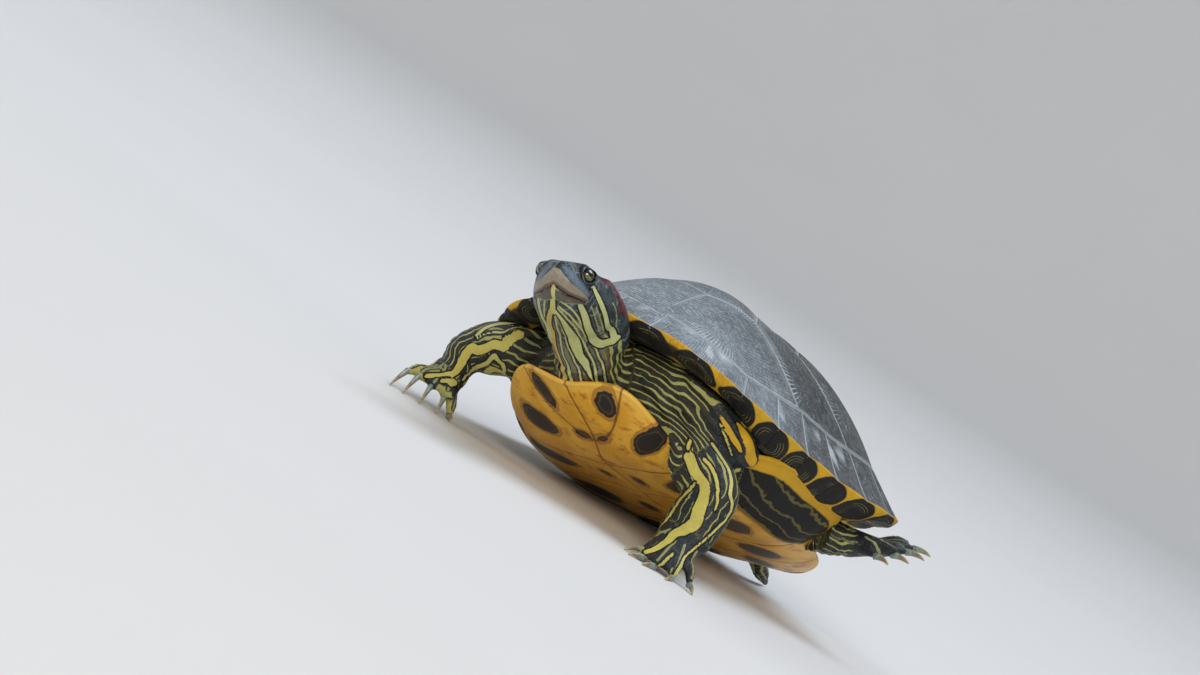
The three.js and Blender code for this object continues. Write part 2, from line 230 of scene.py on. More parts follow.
# Each kind of node: its type, its settings, its inputs in the order given with their usual values, and its
# output. Any other word is a sum.
nodeKinds = {
    "place": ("TexCoord", {}, {}, "Object"),
    "field": ("Attribute", {}, {}, "Fac"),
    "joined": ("CombineXYZ", {}, {0: 0.0, 1: 0.0, 2: 0.0}, 0),
    "stretch": ("Mapping", {}, {"Vector": None, "Scale": None}, 0),
    "noise": ("TexNoise", {}, {"Vector": None, "Scale": 1.0, "Detail": 3.0, "Roughness": 0.6}, "Fac"),
    "cells": ("TexVoronoi", {"feature": "DISTANCE_TO_EDGE"}, {"Vector": None, "Scale": 1.0}, "Distance"),
    "fade": ("MapRange", {"interpolation_type": "SMOOTHSTEP"},
             {"Value": None, "From Min": 0.0, "From Max": 1.0, "To Min": 0.0, "To Max": 1.0}, 0),
    "mix": ("Mix", {"data_type": "RGBA"}, {0: None, 6: None, 7: None}, 2),
    "ramp": ("ValToRGB", {}, {"Fac": None}, 0),
    "bump": ("Bump", {}, {"Height": None, "Distance": None, "Strength": 1.0}, 0),
    "surface": ("BsdfPrincipled", {}, {
        "Base Color": None, "Normal": None, "Roughness": None, "IOR": None, "Specular IOR Level": None,
        "Coat Weight": None, "Coat Roughness": None}, 0),
    "sum": ("Math", {}, {0: 0.0, 1: 0.0, 2: 0.0}, 0),
}


def addNode(tree, kind, *values, stops=(), **settings):
    nodeType, fixed, inputs, output = nodeKinds.get(kind, nodeKinds["sum"])
    node = tree.nodes.new("ShaderNode" + nodeType)
    if kind not in nodeKinds:
        node.operation = kind
    for key, value in {**fixed, **settings}.items():
        setattr(node, key, value)
    for k, (at, colour) in enumerate(stops):
        stop = node.color_ramp.elements[k] if k < 2 else node.color_ramp.elements.new(at)
        stop.position, stop.color = at, toLinear(colour)
    for name, value in {**inputs, **dict(zip(inputs, values))}.items():
        if isinstance(value, bpy.types.NodeSocket):
            tree.links.new(value, node.inputs[name])
        elif value is not None:
            node.inputs[name].default_value = toLinear(value) if isinstance(value, str) else value
    return node.outputs[output]


def startMaterial(name):  # also gives the function that adds its nodes, and the piece's own coordinates
    material = bpy.data.materials.new(name)
    material.use_nodes = True
    material.node_tree.nodes.clear()
    add = partial(addNode, material.node_tree)
    return material, add, add("place")


def endMaterial(material, colour, bump=None, roughness=0.5, ior=1.5, specular=0.5, coat=0.0,
                coatRoughness=0.1):
    tree = material.node_tree
    surface = addNode(tree, "surface", colour, bump, roughness, ior, specular, coat, coatRoughness)
    tree.links.new(surface, tree.nodes.new("ShaderNodeOutputMaterial").inputs["Surface"])
    return material


shell = {
    "height": 64, "summit": -12, "wall": 4.5, "frontLift": 17, "rearLift": 12, "lip": 0.87,
    "bellyLevel": -30, "bellySlope": -0.06, "plate": 4,
    # where the seams between the marginal scutes meet the rim, from the nuchal scute to the tail
    "marginSeams": [
        [109, 0], [108, 9], [101, 32], [87, 52], [66, 66], [42, 74], [18, 78], [-7, 81],
        [-32, 83.5], [-57, 82], [-78, 73], [-95, 54.5], [-106, 30], [-110, 0]],
    "plastronEdge": [
        [97, 0, -20.5], [97, 12, -18.5], [95, 22, -16.5], [90, 30, -17.5], [80, 37, -21.5], [67, 42, -25.5],
        [54, 45, -27.5], [46, 49, -26], [41, 62, -16], [22, 71, -9.5], [-8, 72.5, -9], [-34, 71.5, -8.5],
        [-43, 64, -12], [-49, 52, -20], [-64, 48, -20], [-82, 40, -20], [-98, 20, -21], [-95, 0, -22]],
}


def bothSides(half):
    points = [list(p) + [0] * (3 - len(p)) for p in half]
    return points + [[x, -y, z] for x, y, z in points[-2:0:-1]]


rim = evenly(bothSides(shell["marginSeams"]), 1440)[:, :2]
rimAngle = np.unwrap(np.arctan2(rim[:, 1], rim[:, 0] - shell["summit"]))
rimAngle = np.concatenate([rimAngle, rimAngle[:1] + 2 * math.pi])
rimClosed = np.vstack([rim, rim[:1]])


def rimAt(angle):  # the rim's point seen from the summit at an angle
    a = (np.asarray(angle) - rimAngle[0]) % (2 * math.pi) + rimAngle[0]
    return np.stack([np.interp(a, rimAngle, rimClosed[:, k]) for k in (0, 1)], -1)


def rimLift(x):
    return (shell["frontLift"] * clamp01((x - 10) / 100) ** 2.1
            + shell["rearLift"] * clamp01((-x - 10) / 80) ** 1.5)


def bridgeShare(x):
    return 1 - smooth((np.abs(x - 2) - 40) / 32)


def drop(x):
    return -3 - 7 * bridgeShare(x)


def backSurface(angle, w):  # w is 0 at the summit, 1 at the rim, and 2 at the marginals' inner edge below
    edge = rimAt(angle)
    w = np.asarray(w, float)
    share = np.where(w <= 1, w, 1 - (w - 1) * (1 - shell["lip"]))
    x = (edge[..., 0] - shell["summit"]) * share + shell["summit"]
    rise = shell["height"] * (1 - clamp01(share) ** 2.1) ** 1.2
    inner = drop(edge[..., 0])
    middle, outer = -2 + 0.62 * (inner + 2), 2.2
    under = np.interp(share, [shell["lip"], 0.93, 0.985, 1], [0, 1, 2, 3])
    below = np.where(under > 2, -outer * (3 - under), np.where(
        under > 1, middle * (2 - under) - outer * (under - 1), inner * (1 - under) + middle * under))
    z = rimLift(edge[..., 0]) * share + np.where(w <= 1, rise, below)
    return np.stack([x, edge[..., 1] * share, z], -1)


def planToChart(x, y):  # angle and share of a point of the back seen from above
    x, y = np.asarray(x, float), np.asarray(y, float)
    angle = np.arctan2(y, x - shell["summit"])
    edge = rimAt(angle)
    reach = np.hypot(edge[..., 0] - shell["summit"], edge[..., 1])
    return angle, np.hypot(x - shell["summit"], y) / reach


def placeBack(chart):  # a point of the back seen from above
    return backSurface(*planToChart(chart[:, 0], chart[:, 1]))


def backNormal(chart):
    return normalsBy(placeBack, chart, 0.6, 0.6)


# The shell under its plates: rings run over the back, under the rim, and then round the hollow.
bone = {"rings": 46, "sides": 240, "outer": 24, "under": 8, "inner": 14,
        "seat": 0.75, "skirt": 0.2, "skirtDrop": 4}  # the plates stand the seat's depth above it


def makeBackBone():
    piece, ring, angle = addBall("backShell", bone["sides"], bone["rings"])
    outer, under = bone["outer"], bone["under"]
    w = np.where(ring <= outer, ring / outer, np.where(ring <= outer + under, 1 + (ring - outer) / under, 2))
    chart = np.stack([angle, np.clip(w, 0.02, 1.98)], 1)
    normal = normalsBy(lambda c: backSurface(c[:, 0], c[:, 1]), chart, 1e-3, 1e-3)
    normal *= np.sign(normal[:, 2:3]) * np.where(w > 1, -1, 1)[:, None]
    points = backSurface(angle, w) - normal * bone["seat"]
    depth = clamp01((ring - outer - under) / bone["inner"])  # the hollow, from its skirt to its middle
    skirt = depth < bone["skirt"]
    share = np.where(skirt, shell["lip"] - 0.035,
                     (shell["lip"] - 0.03) * (1 - (depth - bone["skirt"]) / (1 - bone["skirt"])))
    edge = rimAt(angle)
    inset = share * (1 - shell["wall"] / 95)
    lift = rimLift(edge[:, 0]) * share
    roof = np.stack([
        (edge[:, 0] - shell["summit"]) * inset + shell["summit"], edge[:, 1] * inset,
        lift + (shell["height"] - shell["wall"]) * (1 - share**2.1) ** 1.2], -1)
    roof[:, 2] = np.where(skirt, -bone["skirtDrop"] + depth * 5 * 8 + lift, roof[:, 2])
    setPoints(piece, np.where((ring > outer + under)[:, None], roof, points))
    addField(piece, "inner", ring > outer + under - 1)
    return piece


# Outlines are seen from above. The midline row gives each seam's place and half width.
plates = {
    "spineSeams": [[90, 25], [50, 17], [7, 16], [-35, 15], [-71, 13], [-95, 24]],
    "spineCorners": [[88, 25], [26, 30], [-15, 30], [-54, 27], [-86, 30]],  # where costal seams end
    "costalFeet": [88, 14, -27, -63, -92],  # where the same seams meet the marginals
    "footShare": [  # inner edge of the marginals as a share of the rim's radius, by distance forward
        [-110, 0.83], [-95, 0.81], [-57, 0.8], [-7, 0.785], [18, 0.78], [42, 0.82], [66, 0.87], [109, 0.85]],
    "seam": 0.34,  # half the seam's width
    "ringSpacing": 1.25,
    "swell": 0.9,  # how far the middle of a plate stands above its edge
    "edge": 0.75,  # thickness at the edge
}
footTable = np.array(plates["footShare"])
plateRandom = random.Random(4)


def footAt(angle):
    return np.interp(rimAt(angle)[..., 0], footTable[:, 0], footTable[:, 1])


def footPoint(angle):
    edge, share = rimAt(angle), footAt(angle)
    return [(edge[0] - shell["summit"]) * share + shell["summit"], edge[1] * share]


def footAngleAt(x):  # the angle at which the marginals' inner edge is this far forward, on the left
    angles = np.linspace(0.02, math.pi - 0.02, 900)
    return float(np.interp(-x, [-footPoint(a)[0] for a in angles], angles))


def makePlate(name, outline, areola, place, normalAt, sides, reach):
    # rings grow from the areola to the outline, turn down at the edge and close below
    top = max(8, int(reach / plates["ringSpacing"]))
    piece, ring, angle = addBall(name, sides, top + 5)
    edge = cutEvenly(np.asarray(outline, float), sides)
    spot = np.asarray(areola, float)
    k = turnNumber(angle, sides)
    shrink = 1 - plates["seam"] / reach
    flare = shrink + 0.25 / reach
    grow = np.interp(ring, [0, top, top + 1, top + 2, top + 3, top + 5], [0, shrink, flare, flare, shrink, 0])
    chart = spot + (edge[k] - spot) * grow[:, None]
    arc = 2 * math.pi * k / sides
    fromEdge = np.where(ring <= top, (shrink - grow) * reach, 0)
    wear = 0.5 + 0.5 * np.sin(3 * arc + plateRandom.random() * 6)
    ripple = np.sin(fromEdge * 2 * math.pi / 3.6) * 0.09 * np.exp(-fromEdge / 14) * wear
    height = np.select([ring > top + 2, ring > top + 1, ring > top],
                       [-plates["edge"] - 0.35, -plates["edge"], -0.25],
                       plates["swell"] * (1 - (grow / shrink) ** 2) + ripple)
    points = place(chart) + normalAt(chart) * height[:, None]
    setPoints(piece, points)
    addField(piece, "grow", fromEdge)
    addField(piece, "lap", k * np.linalg.norm(edge[1] - edge[0]))  # distance round the outline
    addField(piece, "forward", points[:, 0])
    addField(piece, "round", np.cos(arc) * reach / 3)
    addField(piece, "round2", np.sin(arc) * reach / 3)
    return piece, chart


def makeDomePlates():
    seams, corners = plates["spineSeams"], plates["spineCorners"]
    made = []
    for i in range(5):
        (x0, y0), (x1, y1) = seams[i], seams[i + 1]
        left = [[x0, y0 if i else 25]] + ([corners[i]] if i else []) + [[x1, y1]]
        if i == 4:
            left = [[x0, y0], corners[4], [-95, 20]]
        outline = left + [[x, -y] for x, y in reversed(left)]
        made.append(makePlate(f"vertebral{i + 1}", outline, [x0 * 0.35 + x1 * 0.65, 0], placeBack, backNormal,
                              150, 24))
    feet = [footAngleAt(x) for x in plates["costalFeet"]]
    for side in (1, -1):
        for i in range(4):
            foot = [footPoint(a) for a in np.linspace(feet[i], feet[i + 1], 14)]
            outline = np.array(foot + [corners[i + 1], seams[i + 1], corners[i]], float)
            spot = outline.mean(0) * [1, 0.85] + [-4, 0]
            outline[:, 1] *= side
            made.append(makePlate(f"costal{i + 1}", outline, [spot[0], spot[1] * side], placeBack, backNormal,
                                  180, 25))
    for piece, _ in made:
        addField(piece, "spot", np.full(len(piece.data.vertices), 9.0))
        addField(piece, "under", np.full(len(piece.data.vertices), -1.0))
    return joinPieces([piece for piece, _ in made], "domePlates")


# Marginals wrap round the rim: outside from the foot to the rim, then underneath to their inner edge. Dark
# spots lie across their seams, centred part of the way in.
marginals = {"spotCentre": 1.47, "spotDepth": 0.48, "spotReach": 12, "spotShape": 2.8}
seamPoints = np.array(bothSides(shell["marginSeams"]))[:, :2]
seamAngles = np.unwrap(np.arctan2(seamPoints[:, 1], seamPoints[:, 0] - shell["summit"]))


def makeRimPlates():
    made = []
    seams = list(seamAngles[1:]) + [seamAngles[1] + 2 * math.pi]  # the first is the middle of the nuchal
    power = marginals["spotShape"]
    for k, (a0, a1) in enumerate(zip(seams, seams[1:])):

        def place(chart, a0=a0, a1=a1):
            angle = a0 + (a1 - a0) * chart[:, 0]
            foot = footAt(angle)
            return backSurface(angle, np.where(chart[:, 1] < 1, foot + (1 - foot) * chart[:, 1], chart[:, 1]))

        outline = [[0, 0], [1, 0], [1, 1], [1, 1.96], [0, 1.96], [0, 1]]
        piece, chart = makePlate(f"marginal{k}", outline, [0.5, 1.0], place,
                                 lambda c, place=place: -normalsBy(place, c, 0.02, 0.05), 112, 14)
        point = rimAt(a0 + (a1 - a0) * chart[:, 0])
        inward = np.abs((chart[:, 1] - marginals["spotCentre"]) / marginals["spotDepth"]) ** power
        spot = np.full(len(chart), 9.0)
        for seam in (a0, a1):
            along = np.linalg.norm(point - rimAt(seam), axis=1) / marginals["spotReach"]
            spot = np.minimum(spot, (np.abs(along) ** power + inward) ** (1 / power) - 1)
        addField(piece, "spot", spot)
        addField(piece, "under", chart[:, 1] - 1)
        made.append(piece)
    return joinPieces(made, "rimPlates")


belly = {
    # seams across it: distance forward at the midline, and at the edge
    "seams": [[66, 97], [44, 50], [10, 16], [-34, -42], [-62, -70], [-90, -96]],
    # dark blotches: x, y, half length, half width, turn in degrees
    "blotches": [
        [89, 16, 7, 4.5, 25], [70, 29, 9.5, 6, 60], [69, 5, 4, 2.5, 70], [33, 36, 13, 8, 60],
        [29, 9, 5, 3, 0], [-12, 36, 12, 9, 20], [-14, 10, 6, 4, 0], [-52, 28, 10, 9, 0], [-76, 15, 8, 7, 0]],
}


def bellyZ(x):
    return shell["bellyLevel"] + shell["bellySlope"] * x + 14 * clamp01((x - 50) / 46) ** 1.4


bellyRing = evenly(bothSides(shell["plastronEdge"]), 4000)
bellyAngle = np.arctan2(bellyRing[:, 1], bellyRing[:, 0]) % (2 * math.pi)
bellyOrder = np.argsort(bellyAngle)
bellySteps = 1440
bellyEdge = np.stack([np.interp(
    np.arange(bellySteps) / bellySteps * 2 * math.pi, bellyAngle[bellyOrder], bellyRing[bellyOrder, k],
    period=2 * math.pi) for k in range(3)], 1)


def makeBelly():
    sides, under, edges, total = 420, 70, 6, 90
    piece, ring, angle = addBall("bellyShell", sides, total)
    p = evenly(bothSides(shell["plastronEdge"]), sides)[turnNumber(angle, sides)]
    share = np.interp(ring, [0, under, under + edges, total], [0, 1, 1, 0])
    turned = clamp01((ring - under) / edges)  # 0 underneath, 1 on the inner face
    rise = (p[:, 2] - bellyZ(p[:, 0])) * share**7
    swell = np.where(ring <= under, -1.5, 1.5) * (1 - share)
    offset = np.where(ring <= under, 0.9 * share**8, np.where(
        ring < under + edges, 0.9 + 2.4 * (1 - np.cos(turned * math.pi)) / 2,
        shell["plate"] - 0.7 * share**8))
    points = np.stack([p[:, 0] * share, p[:, 1] * share, bellyZ(p[:, 0] * share) + rise + offset + swell], 1)
    lip = np.where((ring > under) & (ring < under + edges), np.sin(turned * math.pi) * 0.9, 0)
    points[:, :2] += unitRows(p[:, :2]) * lip[:, None]
    x = points[:, 0]
    middle = points[:, 1] - 5.5 * np.exp(-((x - 72) / 20) ** 2)  # the seam between the halves wanders
    y = np.abs(middle)
    seams = [np.interp(y / 46, [0, 1], s) for s in belly["seams"]]
    seams[0] = 65.5 + 26 * (y / 24) ** 1.5  # the gular plates make a wedge
    row = np.zeros(len(x))
    for i, (front, rear) in enumerate(zip(seams, seams[1:])):  # a whole number on each seam, and even between
        row = np.where(x <= front, i + clamp01((front - x) / (front - rear)), row)
    row = np.where(x > seams[0], -clamp01((x - seams[0]) / 34) * 0.45, row)
    groove = np.exp(-((row - np.rint(row)) * 34 / 0.8) ** 2) + np.exp(-(y / 0.8) ** 2)
    points[:, 2] += np.where(ring <= under, 0.45 * clamp01(groove), 0)
    blot = np.full(len(x), 9.0)
    for bx, by, long, wide, degrees in belly["blotches"]:
        cos, sin = math.cos(math.radians(degrees)), math.sin(math.radians(degrees))
        u, v = (x - bx) * cos + (y - by) * sin, -(x - bx) * sin + (y - by) * cos
        blot = np.minimum(blot, (np.hypot(u / long, v / wide) - 1) * min(long, wide))
    keepOffFloor(points)
    setPoints(piece, points)
    bridgeEnds = smooth(np.minimum(x + 52, 50 - x) / 6)
    for name, values in (("row", row), ("mid", middle), ("blotch", blot), ("edgeward", share),
                         # 0 at the bridge's lower border, 1 where it meets the marginals
                         ("bridge", (np.abs(points[:, 1]) - 50) / 20 - 9 * (1 - bridgeEnds))):
        addField(piece, name, values)
    return piece


# Stations are centre, half width across, half height along the limb's top.
limbs = {
    "trunkFront": dict(top=[0, 0, 1], stations=[
        [20, 0, 0, 30, 16], [45, 0, 0, 44, 20], [70, 0, -4, 46, 21]]),
    "trunkRear": dict(top=[0, 0, 1], stations=[
        [-84, 0, -8, 32, 11], [-55, 0, -3, 38, 17], [-30, 0, 0, 26, 14]]),
    "spine": dict(top=[0, 0, 1], stations=[[-45, 0, 0, 12, 10], [0, 0, 2, 10, 8], [40, 0, 0, 14, 10]]),
    "neck": dict(top=[0, 0, 1], stations=[
        [56, 0, -8, 19, 16], [86, 3, -7, 14.5, 14], [103, 5, 1, 14, 14], [122, 6.5, 6, 15, 13.5]]),
    "tail": dict(top=[0, 0, 1], stations=[
        [-72, 0, -10, 12, 9], [-92, -2, -12, 7, 5.5], [-112, -6, -18, 4, 3.4],
        onFloor(-132, -13, 1.8) + [1.7, 1.5]]),
    "foreLeft": dict(top=[1, 0.3, 0.2], stations=[
        [60, 30, -14, 15, 14], [53, 46, -24, 13.5, 13], [48.5, 59.5, -35, 11.5, 11],
        [50.5, 59.5, -47, 12.5, 9], [52.5, 58, -58, 12.5, 7]]),
    "foreRight": dict(top=[0.3, 0.2, 1], stations=[
        [62, -24, -8, 15, 13], [76, -42, -3, 12.5, 12.5], [76, -57, -4, 12, 12],
        [77, -68, -9, 10, 9.5], [76, -73, -19, 9.5, 7]]),
    # loose skin that closes the opening between the neck, the foreleg and the rim
    "curtainLeft": dict(top=[0, 0, 1], stations=[
        [67, 12, 4, 12, 11], [67, 30, 3, 12, 12], [58, 45, -4, 12, 11], [46, 55, -10, 12, 10],
        [36, 58, -13, 9, 8]]),
    "curtainRight": dict(top=[0, 0, 1], stations=[
        [66, -10, 4, 12, 11], [66, -26, 4, 12, 12], [57, -42, 0, 11, 10], [46, -52, -4, 10, 8]]),
    "hindLeft": dict(top=[0, 0.2, 1], stations=[
        [-50, 26, -8, 17, 13], [-44, 46, -12, 13, 11], [-48, 60, -13, 10, 8.5], [-57, 68, -11, 8.5, 6.5]]),
    "hindRight": dict(top=[0, -0.2, 1], stations=[
        [-52, -28, -8, 17, 12], [-52, -46, -12, 12, 8], onFloor(-62, -64, 7.5) + [9.5, 6],
        onFloor(-72, -75, 6) + [9, 5.5]]),
}

# Each toe's end, where its claw begins, and the claw's point.
feet = {
    "foreLeft": dict(wrist=[52.5, 58, -58], cuff=11.5, toes=[
        [onFloor(62.8, 48.2, 4), onFloor(70.3, 44.1, 0.1)],
        [onFloor(67.4, 52.4, 1.4), onFloor(75.5, 50.6, 0.1)],
        [onFloor(66.6, 58.8, 1.1), onFloor(75.2, 58.8, 0.1)],
        [onFloor(61.5, 66, 1.1), onFloor(69, 68.6, 0.1)],
        [onFloor(53.6, 70.7, 2.4), onFloor(57.5, 76.5, 0.1)]]),
    "foreRight": dict(wrist=[76, -73, -19], toes=[
        [onFloor(95, -81.5, 8.5), onFloor(102.5, -81, 0.1)], [onFloor(92, -77, 9), onFloor(99, -75.5, 0.1)],
        [onFloor(88, -71.5, 8), onFloor(93.5, -69, 0.1)], [onFloor(82.5, -66.5, 7), onFloor(87, -63.5, 0.1)],
        [onFloor(76, -64.5, 1.2), onFloor(78.5, -61, 0.1)]]),
    "hindLeft": dict(wrist=[-57, 68, -11], toes=[
        [[-52, 86, -16], [-51, 94, -18.5]], [[-57, 91, -12], [-57, 100, -14]],
        [[-64, 93, -7], [-65, 102, -8.5]], [[-70, 92, -3], [-72, 100, -4]], [[-74, 86, 0], None]]),
    "hindRight": dict(wrist=onFloor(-72, -75, 6), toes=[
        [onFloor(-78, -97, 2), onFloor(-80, -106, 0.1)], [onFloor(-87, -99, 2), onFloor(-91, -108, 0.1)],
        [onFloor(-95, -97, 2), onFloor(-101, -105, 0.1)], [onFloor(-101, -91, 2), onFloor(-109, -97, 0.1)],
        [onFloor(-103, -82, 2), None]]),
}
toeRadius = {"foreLeft": 2.6, "foreRight": 2.8, "hindLeft": 2.8, "hindRight": 2.8}

head = {
    "nose": [160, 18.7, 10], "yaw": 15, "pitch": 5, "roll": 9,
    # behind the nose, half width, crown, jaw line
    "stations": [[0, 3.0, 2.2, -4.8], [2.5, 6.4, 3.8, -9.8], [7, 9.8, 5.6, -13.2], [13, 12.6, 7.2, -15.8],
                 [20, 15.2, 8.4, -18.0], [29, 17.6, 8.2, -19.6], [37, 17.8, 6.4, -19.8],
                 [45, 15.0, 3.4, -17.8]],
    "eye": [12.3, 8.6, 1.2], "eyeRadius": 4.0, "gaze": [0.6, 0.79, 0.03], "opening": 2.8,
    "mouth": [[13, 10.2, -9.6], [16, 11.6, -9.5], [19, 12.9, -9.9]],  # behind the corner of the beak
}
headTurn = np.array((Matrix.Rotation(math.radians(head["yaw"]), 3, "Z")
                     @ Matrix.Rotation(math.radians(head["pitch"]), 3, "Y")
                     @ Matrix.Rotation(math.radians(head["roll"]), 3, "X")))


def headPoint(d, y, z):
    return headTurn @ np.array([-d, y, z]) + head["nose"]


# the head is turned to its left, so the neck's loose skin bunches there
limbs["neckRoll"] = dict(top=[0, 0, 1], stations=[[*headPoint(d, y, z), r, r] for d, y, z, r in (
    (28, 11, 1, 5.8), (37, 12, -2, 6.3), (46, 12.6, -5, 6.8), (56, 12, -11, 7), (64, 9, -16, 6.5))])


def headFrame(points):  # behind the nose, to its left, up
    return ((points - np.array(head["nose"])) @ headTurn) * [-1, 1, 1]


def fromHead(points):
    return (points * [-1, 1, 1]) @ headTurn.T + head["nose"]


def limbFrame(name, t):  # a limb's middle line there, and its directions along, across and over
    s = np.array(limbs[name]["stations"], float)[:, :3]
    along = unitRows(curveAt(s, np.minimum(t + 1e-3, 1)) - curveAt(s, np.maximum(t - 1e-3, 0)))
    side = unitRows(np.cross(np.array(limbs[name]["top"], float), along))
    return curveAt(s, t), along, side, np.cross(along, side)


def limbSurface(name, t, angle, shrink=1.0, push=0.0):
    s = np.array(limbs[name]["stations"], float)
    t = np.asarray(t, float)
    line, along, side, over = limbFrame(name, t)
    i = np.clip(np.floor(t * (len(s) - 1)).astype(int), 0, len(s) - 2)
    w = smooth(t * (len(s) - 1) - i)[:, None]
    size = s[i, 3:] * (1 - w) + s[i + 1, 3:] * w
    cos, sin = np.cos(angle)[:, None], np.sin(angle)[:, None]
    shrink, push = np.broadcast_to(shrink, t.shape)[:, None], np.broadcast_to(push, t.shape)[:, None]
    return line + along * push * size[:, 1:] + (side * size[:, :1] * cos + over * size[:, 1:] * sin) * shrink


def addLimb(name, sides=48, rings=60, cap=8, bulge=0.8):
    piece, ring, angle = addBall(name, sides, rings)
    start, end = clamp01(ring / cap), clamp01((rings - ring) / cap)
    t = clamp01((ring - cap) / (rings - 2 * cap))
    a = np.where(t < 0.5, 1 - start, 1 - end) * math.pi / 2
    push = np.where(t < 0.5, -1, 1) * bulge * np.sin(a)
    setPoints(piece, limbSurface(name, t, angle, np.cos(a), push))
    return piece


def addTube(name, points, radii, sides=20, rings=24, flat=1.0):  # rounded, and flattened towards the floor
    limbs[name] = dict(top=up, stations=[list(p) + [r, r * flat] for p, r in zip(points, radii)])
    return addLimb(name, sides, rings, 5, 0.9)


def addHead():
    sides, rings, front, back = 96, 110, 10, 8  # rings that round off the nose and the nape
    piece, ring, angle = addBall("head", sides, rings)
    row = curveAt(head["stations"], clamp01((ring - front) / (rings - front - back)))
    nosed, naped = 1 - clamp01(ring / front), 1 - clamp01((rings - ring) / back)
    shrink = np.sqrt(1 - nosed**2) * np.sqrt(np.maximum(1 - naped**2, 0))
    row[:, 0] -= nosed * 1.3
    row[:, 0] += naped * 8
    cos, sin = np.cos(angle), np.sin(angle)
    power = 2 / 2.3  # a little squarer than an ellipse
    across = row[:, 1] * (1 - 0.16 * clamp01(-sin)) * np.sign(cos) * np.abs(cos) ** power
    tall = (row[:, 2] - row[:, 3]) / 2 * np.sign(sin) * np.abs(sin) ** power
    level = (row[:, 2] + row[:, 3]) / 2
    setPoints(piece, fromHead(np.stack([row[:, 0], across * shrink, level + tall * shrink], 1)))
    return piece


# Each stripe is a line of places with its half width. On the head they are behind the nose, left and up.
# The number before them is the hue: 0 lime, 0.5 yellow, 1 orange yellow, 1.5 the shell's ochre.
headStripes = {
    "middle": [
        (0.3, None, [[1.8, -0.2, -8.4, 0.8], [5.8, -0.7, -12.2, 1], [11.6, -1.8, -14.9, 1.3],
                     [14, -2.2, -15.8, 1.2]]),
        (0.15, (-61, -52, 0.45, 0.3), [[12.8, -0.9, -15.6, 0.9], [18.3, 1, -17.3, 1], [28, 1.8, -19.2, 1.9],
                                       [40.8, 1.5, -21, 2.4], [47.8, 2.1, -23.8, 1.9]]),
        (0.85, (-113, -100, 0.05, 0.9), [[13.4, -3, -15.4, 1], [24.9, -6.5, -17.7, 1.3], [36, -8, -19, 1.4],
                [48, -8.5, -21, 1.3]])],
    "pair": [
        (0.1, [[13, 9.2, -11.5, 1.1], [18.9, 10, -13.9, 1.4], [28, 9.7, -16.7, 1.5], [35.8, 9.3, -17.5, 1.7],
               [42, 8.9, -18.1, 1.9], [47.5, 10.6, -17.9, 1.9], [50, 13.5, -15.8, 1.8],
               [49.5, 16, -13.4, 1.3]]),
        (0.0, [[13.4, 12.4, -2.6, 0.7], [17.2, 14, -5.1, 1.1], [22.5, 15, -7.7, 1.1], [28, 15.7, -10.2, 1.1],
               [35.6, 15.3, -12.6, 1.2], [41, 15.4, -12.8, 1.2], [47.5, 15.2, -14, 1.4]])],
    "fineMiddle": [
        ((-47, -38, 0.05, 0.8), [[10.8, 0.7, -14.7], [17.3, 3.3, -16.6], [25.4, 5.2, -18.2],
                                 [40.8, 4.5, -19.2], [47.8, 5.5, -22]]),
        ((-33, -25, 0.05, 0.6), [[10, 1.7, -14.2], [15.4, 4.9, -15.8], [20.8, 6.2, -17], [28.6, 7.4, -18.1],
                                 [41.7, 6.3, -18.4], [47.8, 8.1, -20]]),
        ((-97, -80, 0.05, 1.2), [[16.6, -1.5, -16.6], [28.9, -3.4, -19.1], [41.7, -4.9, -21.7],
                                 [49.8, -5.3, -24.3]]),
        ((-77, -64, 0.05, 0.6), [[18.3, 0.1, -17.4], [31.6, -1.3, -19.5], [42.1, -1.9, -21.7],
                                 [48.2, -0.8, -24.1]]),
        ((-126, -122, 0.05, 0.6), [[10, -7.3, -11.8], [21.7, -10.4, -14.6], [32, -10.5, -17],
                                   [44, -11, -18]]),
        (None, [[9, -4.8, -12.4], [20, -7.6, -15.9], [33, -9.6, -18]]),
        (None, [[7.5, 3, -12.6], [10, 5, -13.4], [16, 7.4, -15], [26, 8.2, -17.2]])],
    "finePair": [
        [[18.6, 12.7, -10.5], [24.6, 12.9, -12.9], [33.4, 12.6, -15.3], [41, 12, -16]],
        [[20.7, 13.8, -9.7], [28.4, 14.3, -12.8], [40.4, 12.3, -14.4]],
        [[24, 14, 3.4], [34, 15, 2.6], [44, 13, -1], [54, 12, -4]],
        [[30, 17.4, -4.5], [38, 17, -7], [46, 14.5, -9]],
        [[9, 3.2, 4.8], [18, 4, 7.2], [30, 5, 7.4]]],
    "red": [[19, 12.6, 3.2, 1.0], [24, 13.2, 3.8, 2.0], [28.3, 13.6, 3.8, 2.7], [32.5, 15.6, 2.6, 3.0],
            [36, 17.6, 0.2, 3.0], [40, 18.6, -2.5, 2.7], [43.5, 19, -4.5, 1.5]],
    "blue": [[0.8, 3, 0.2, 1.0], [2.6, 5.5, -2, 1.5], [5, 7.7, -4, 1.7], [8.6, 9.6, -5.6, 1.6],
             [12, 11, -6.8, 1.2]],
}
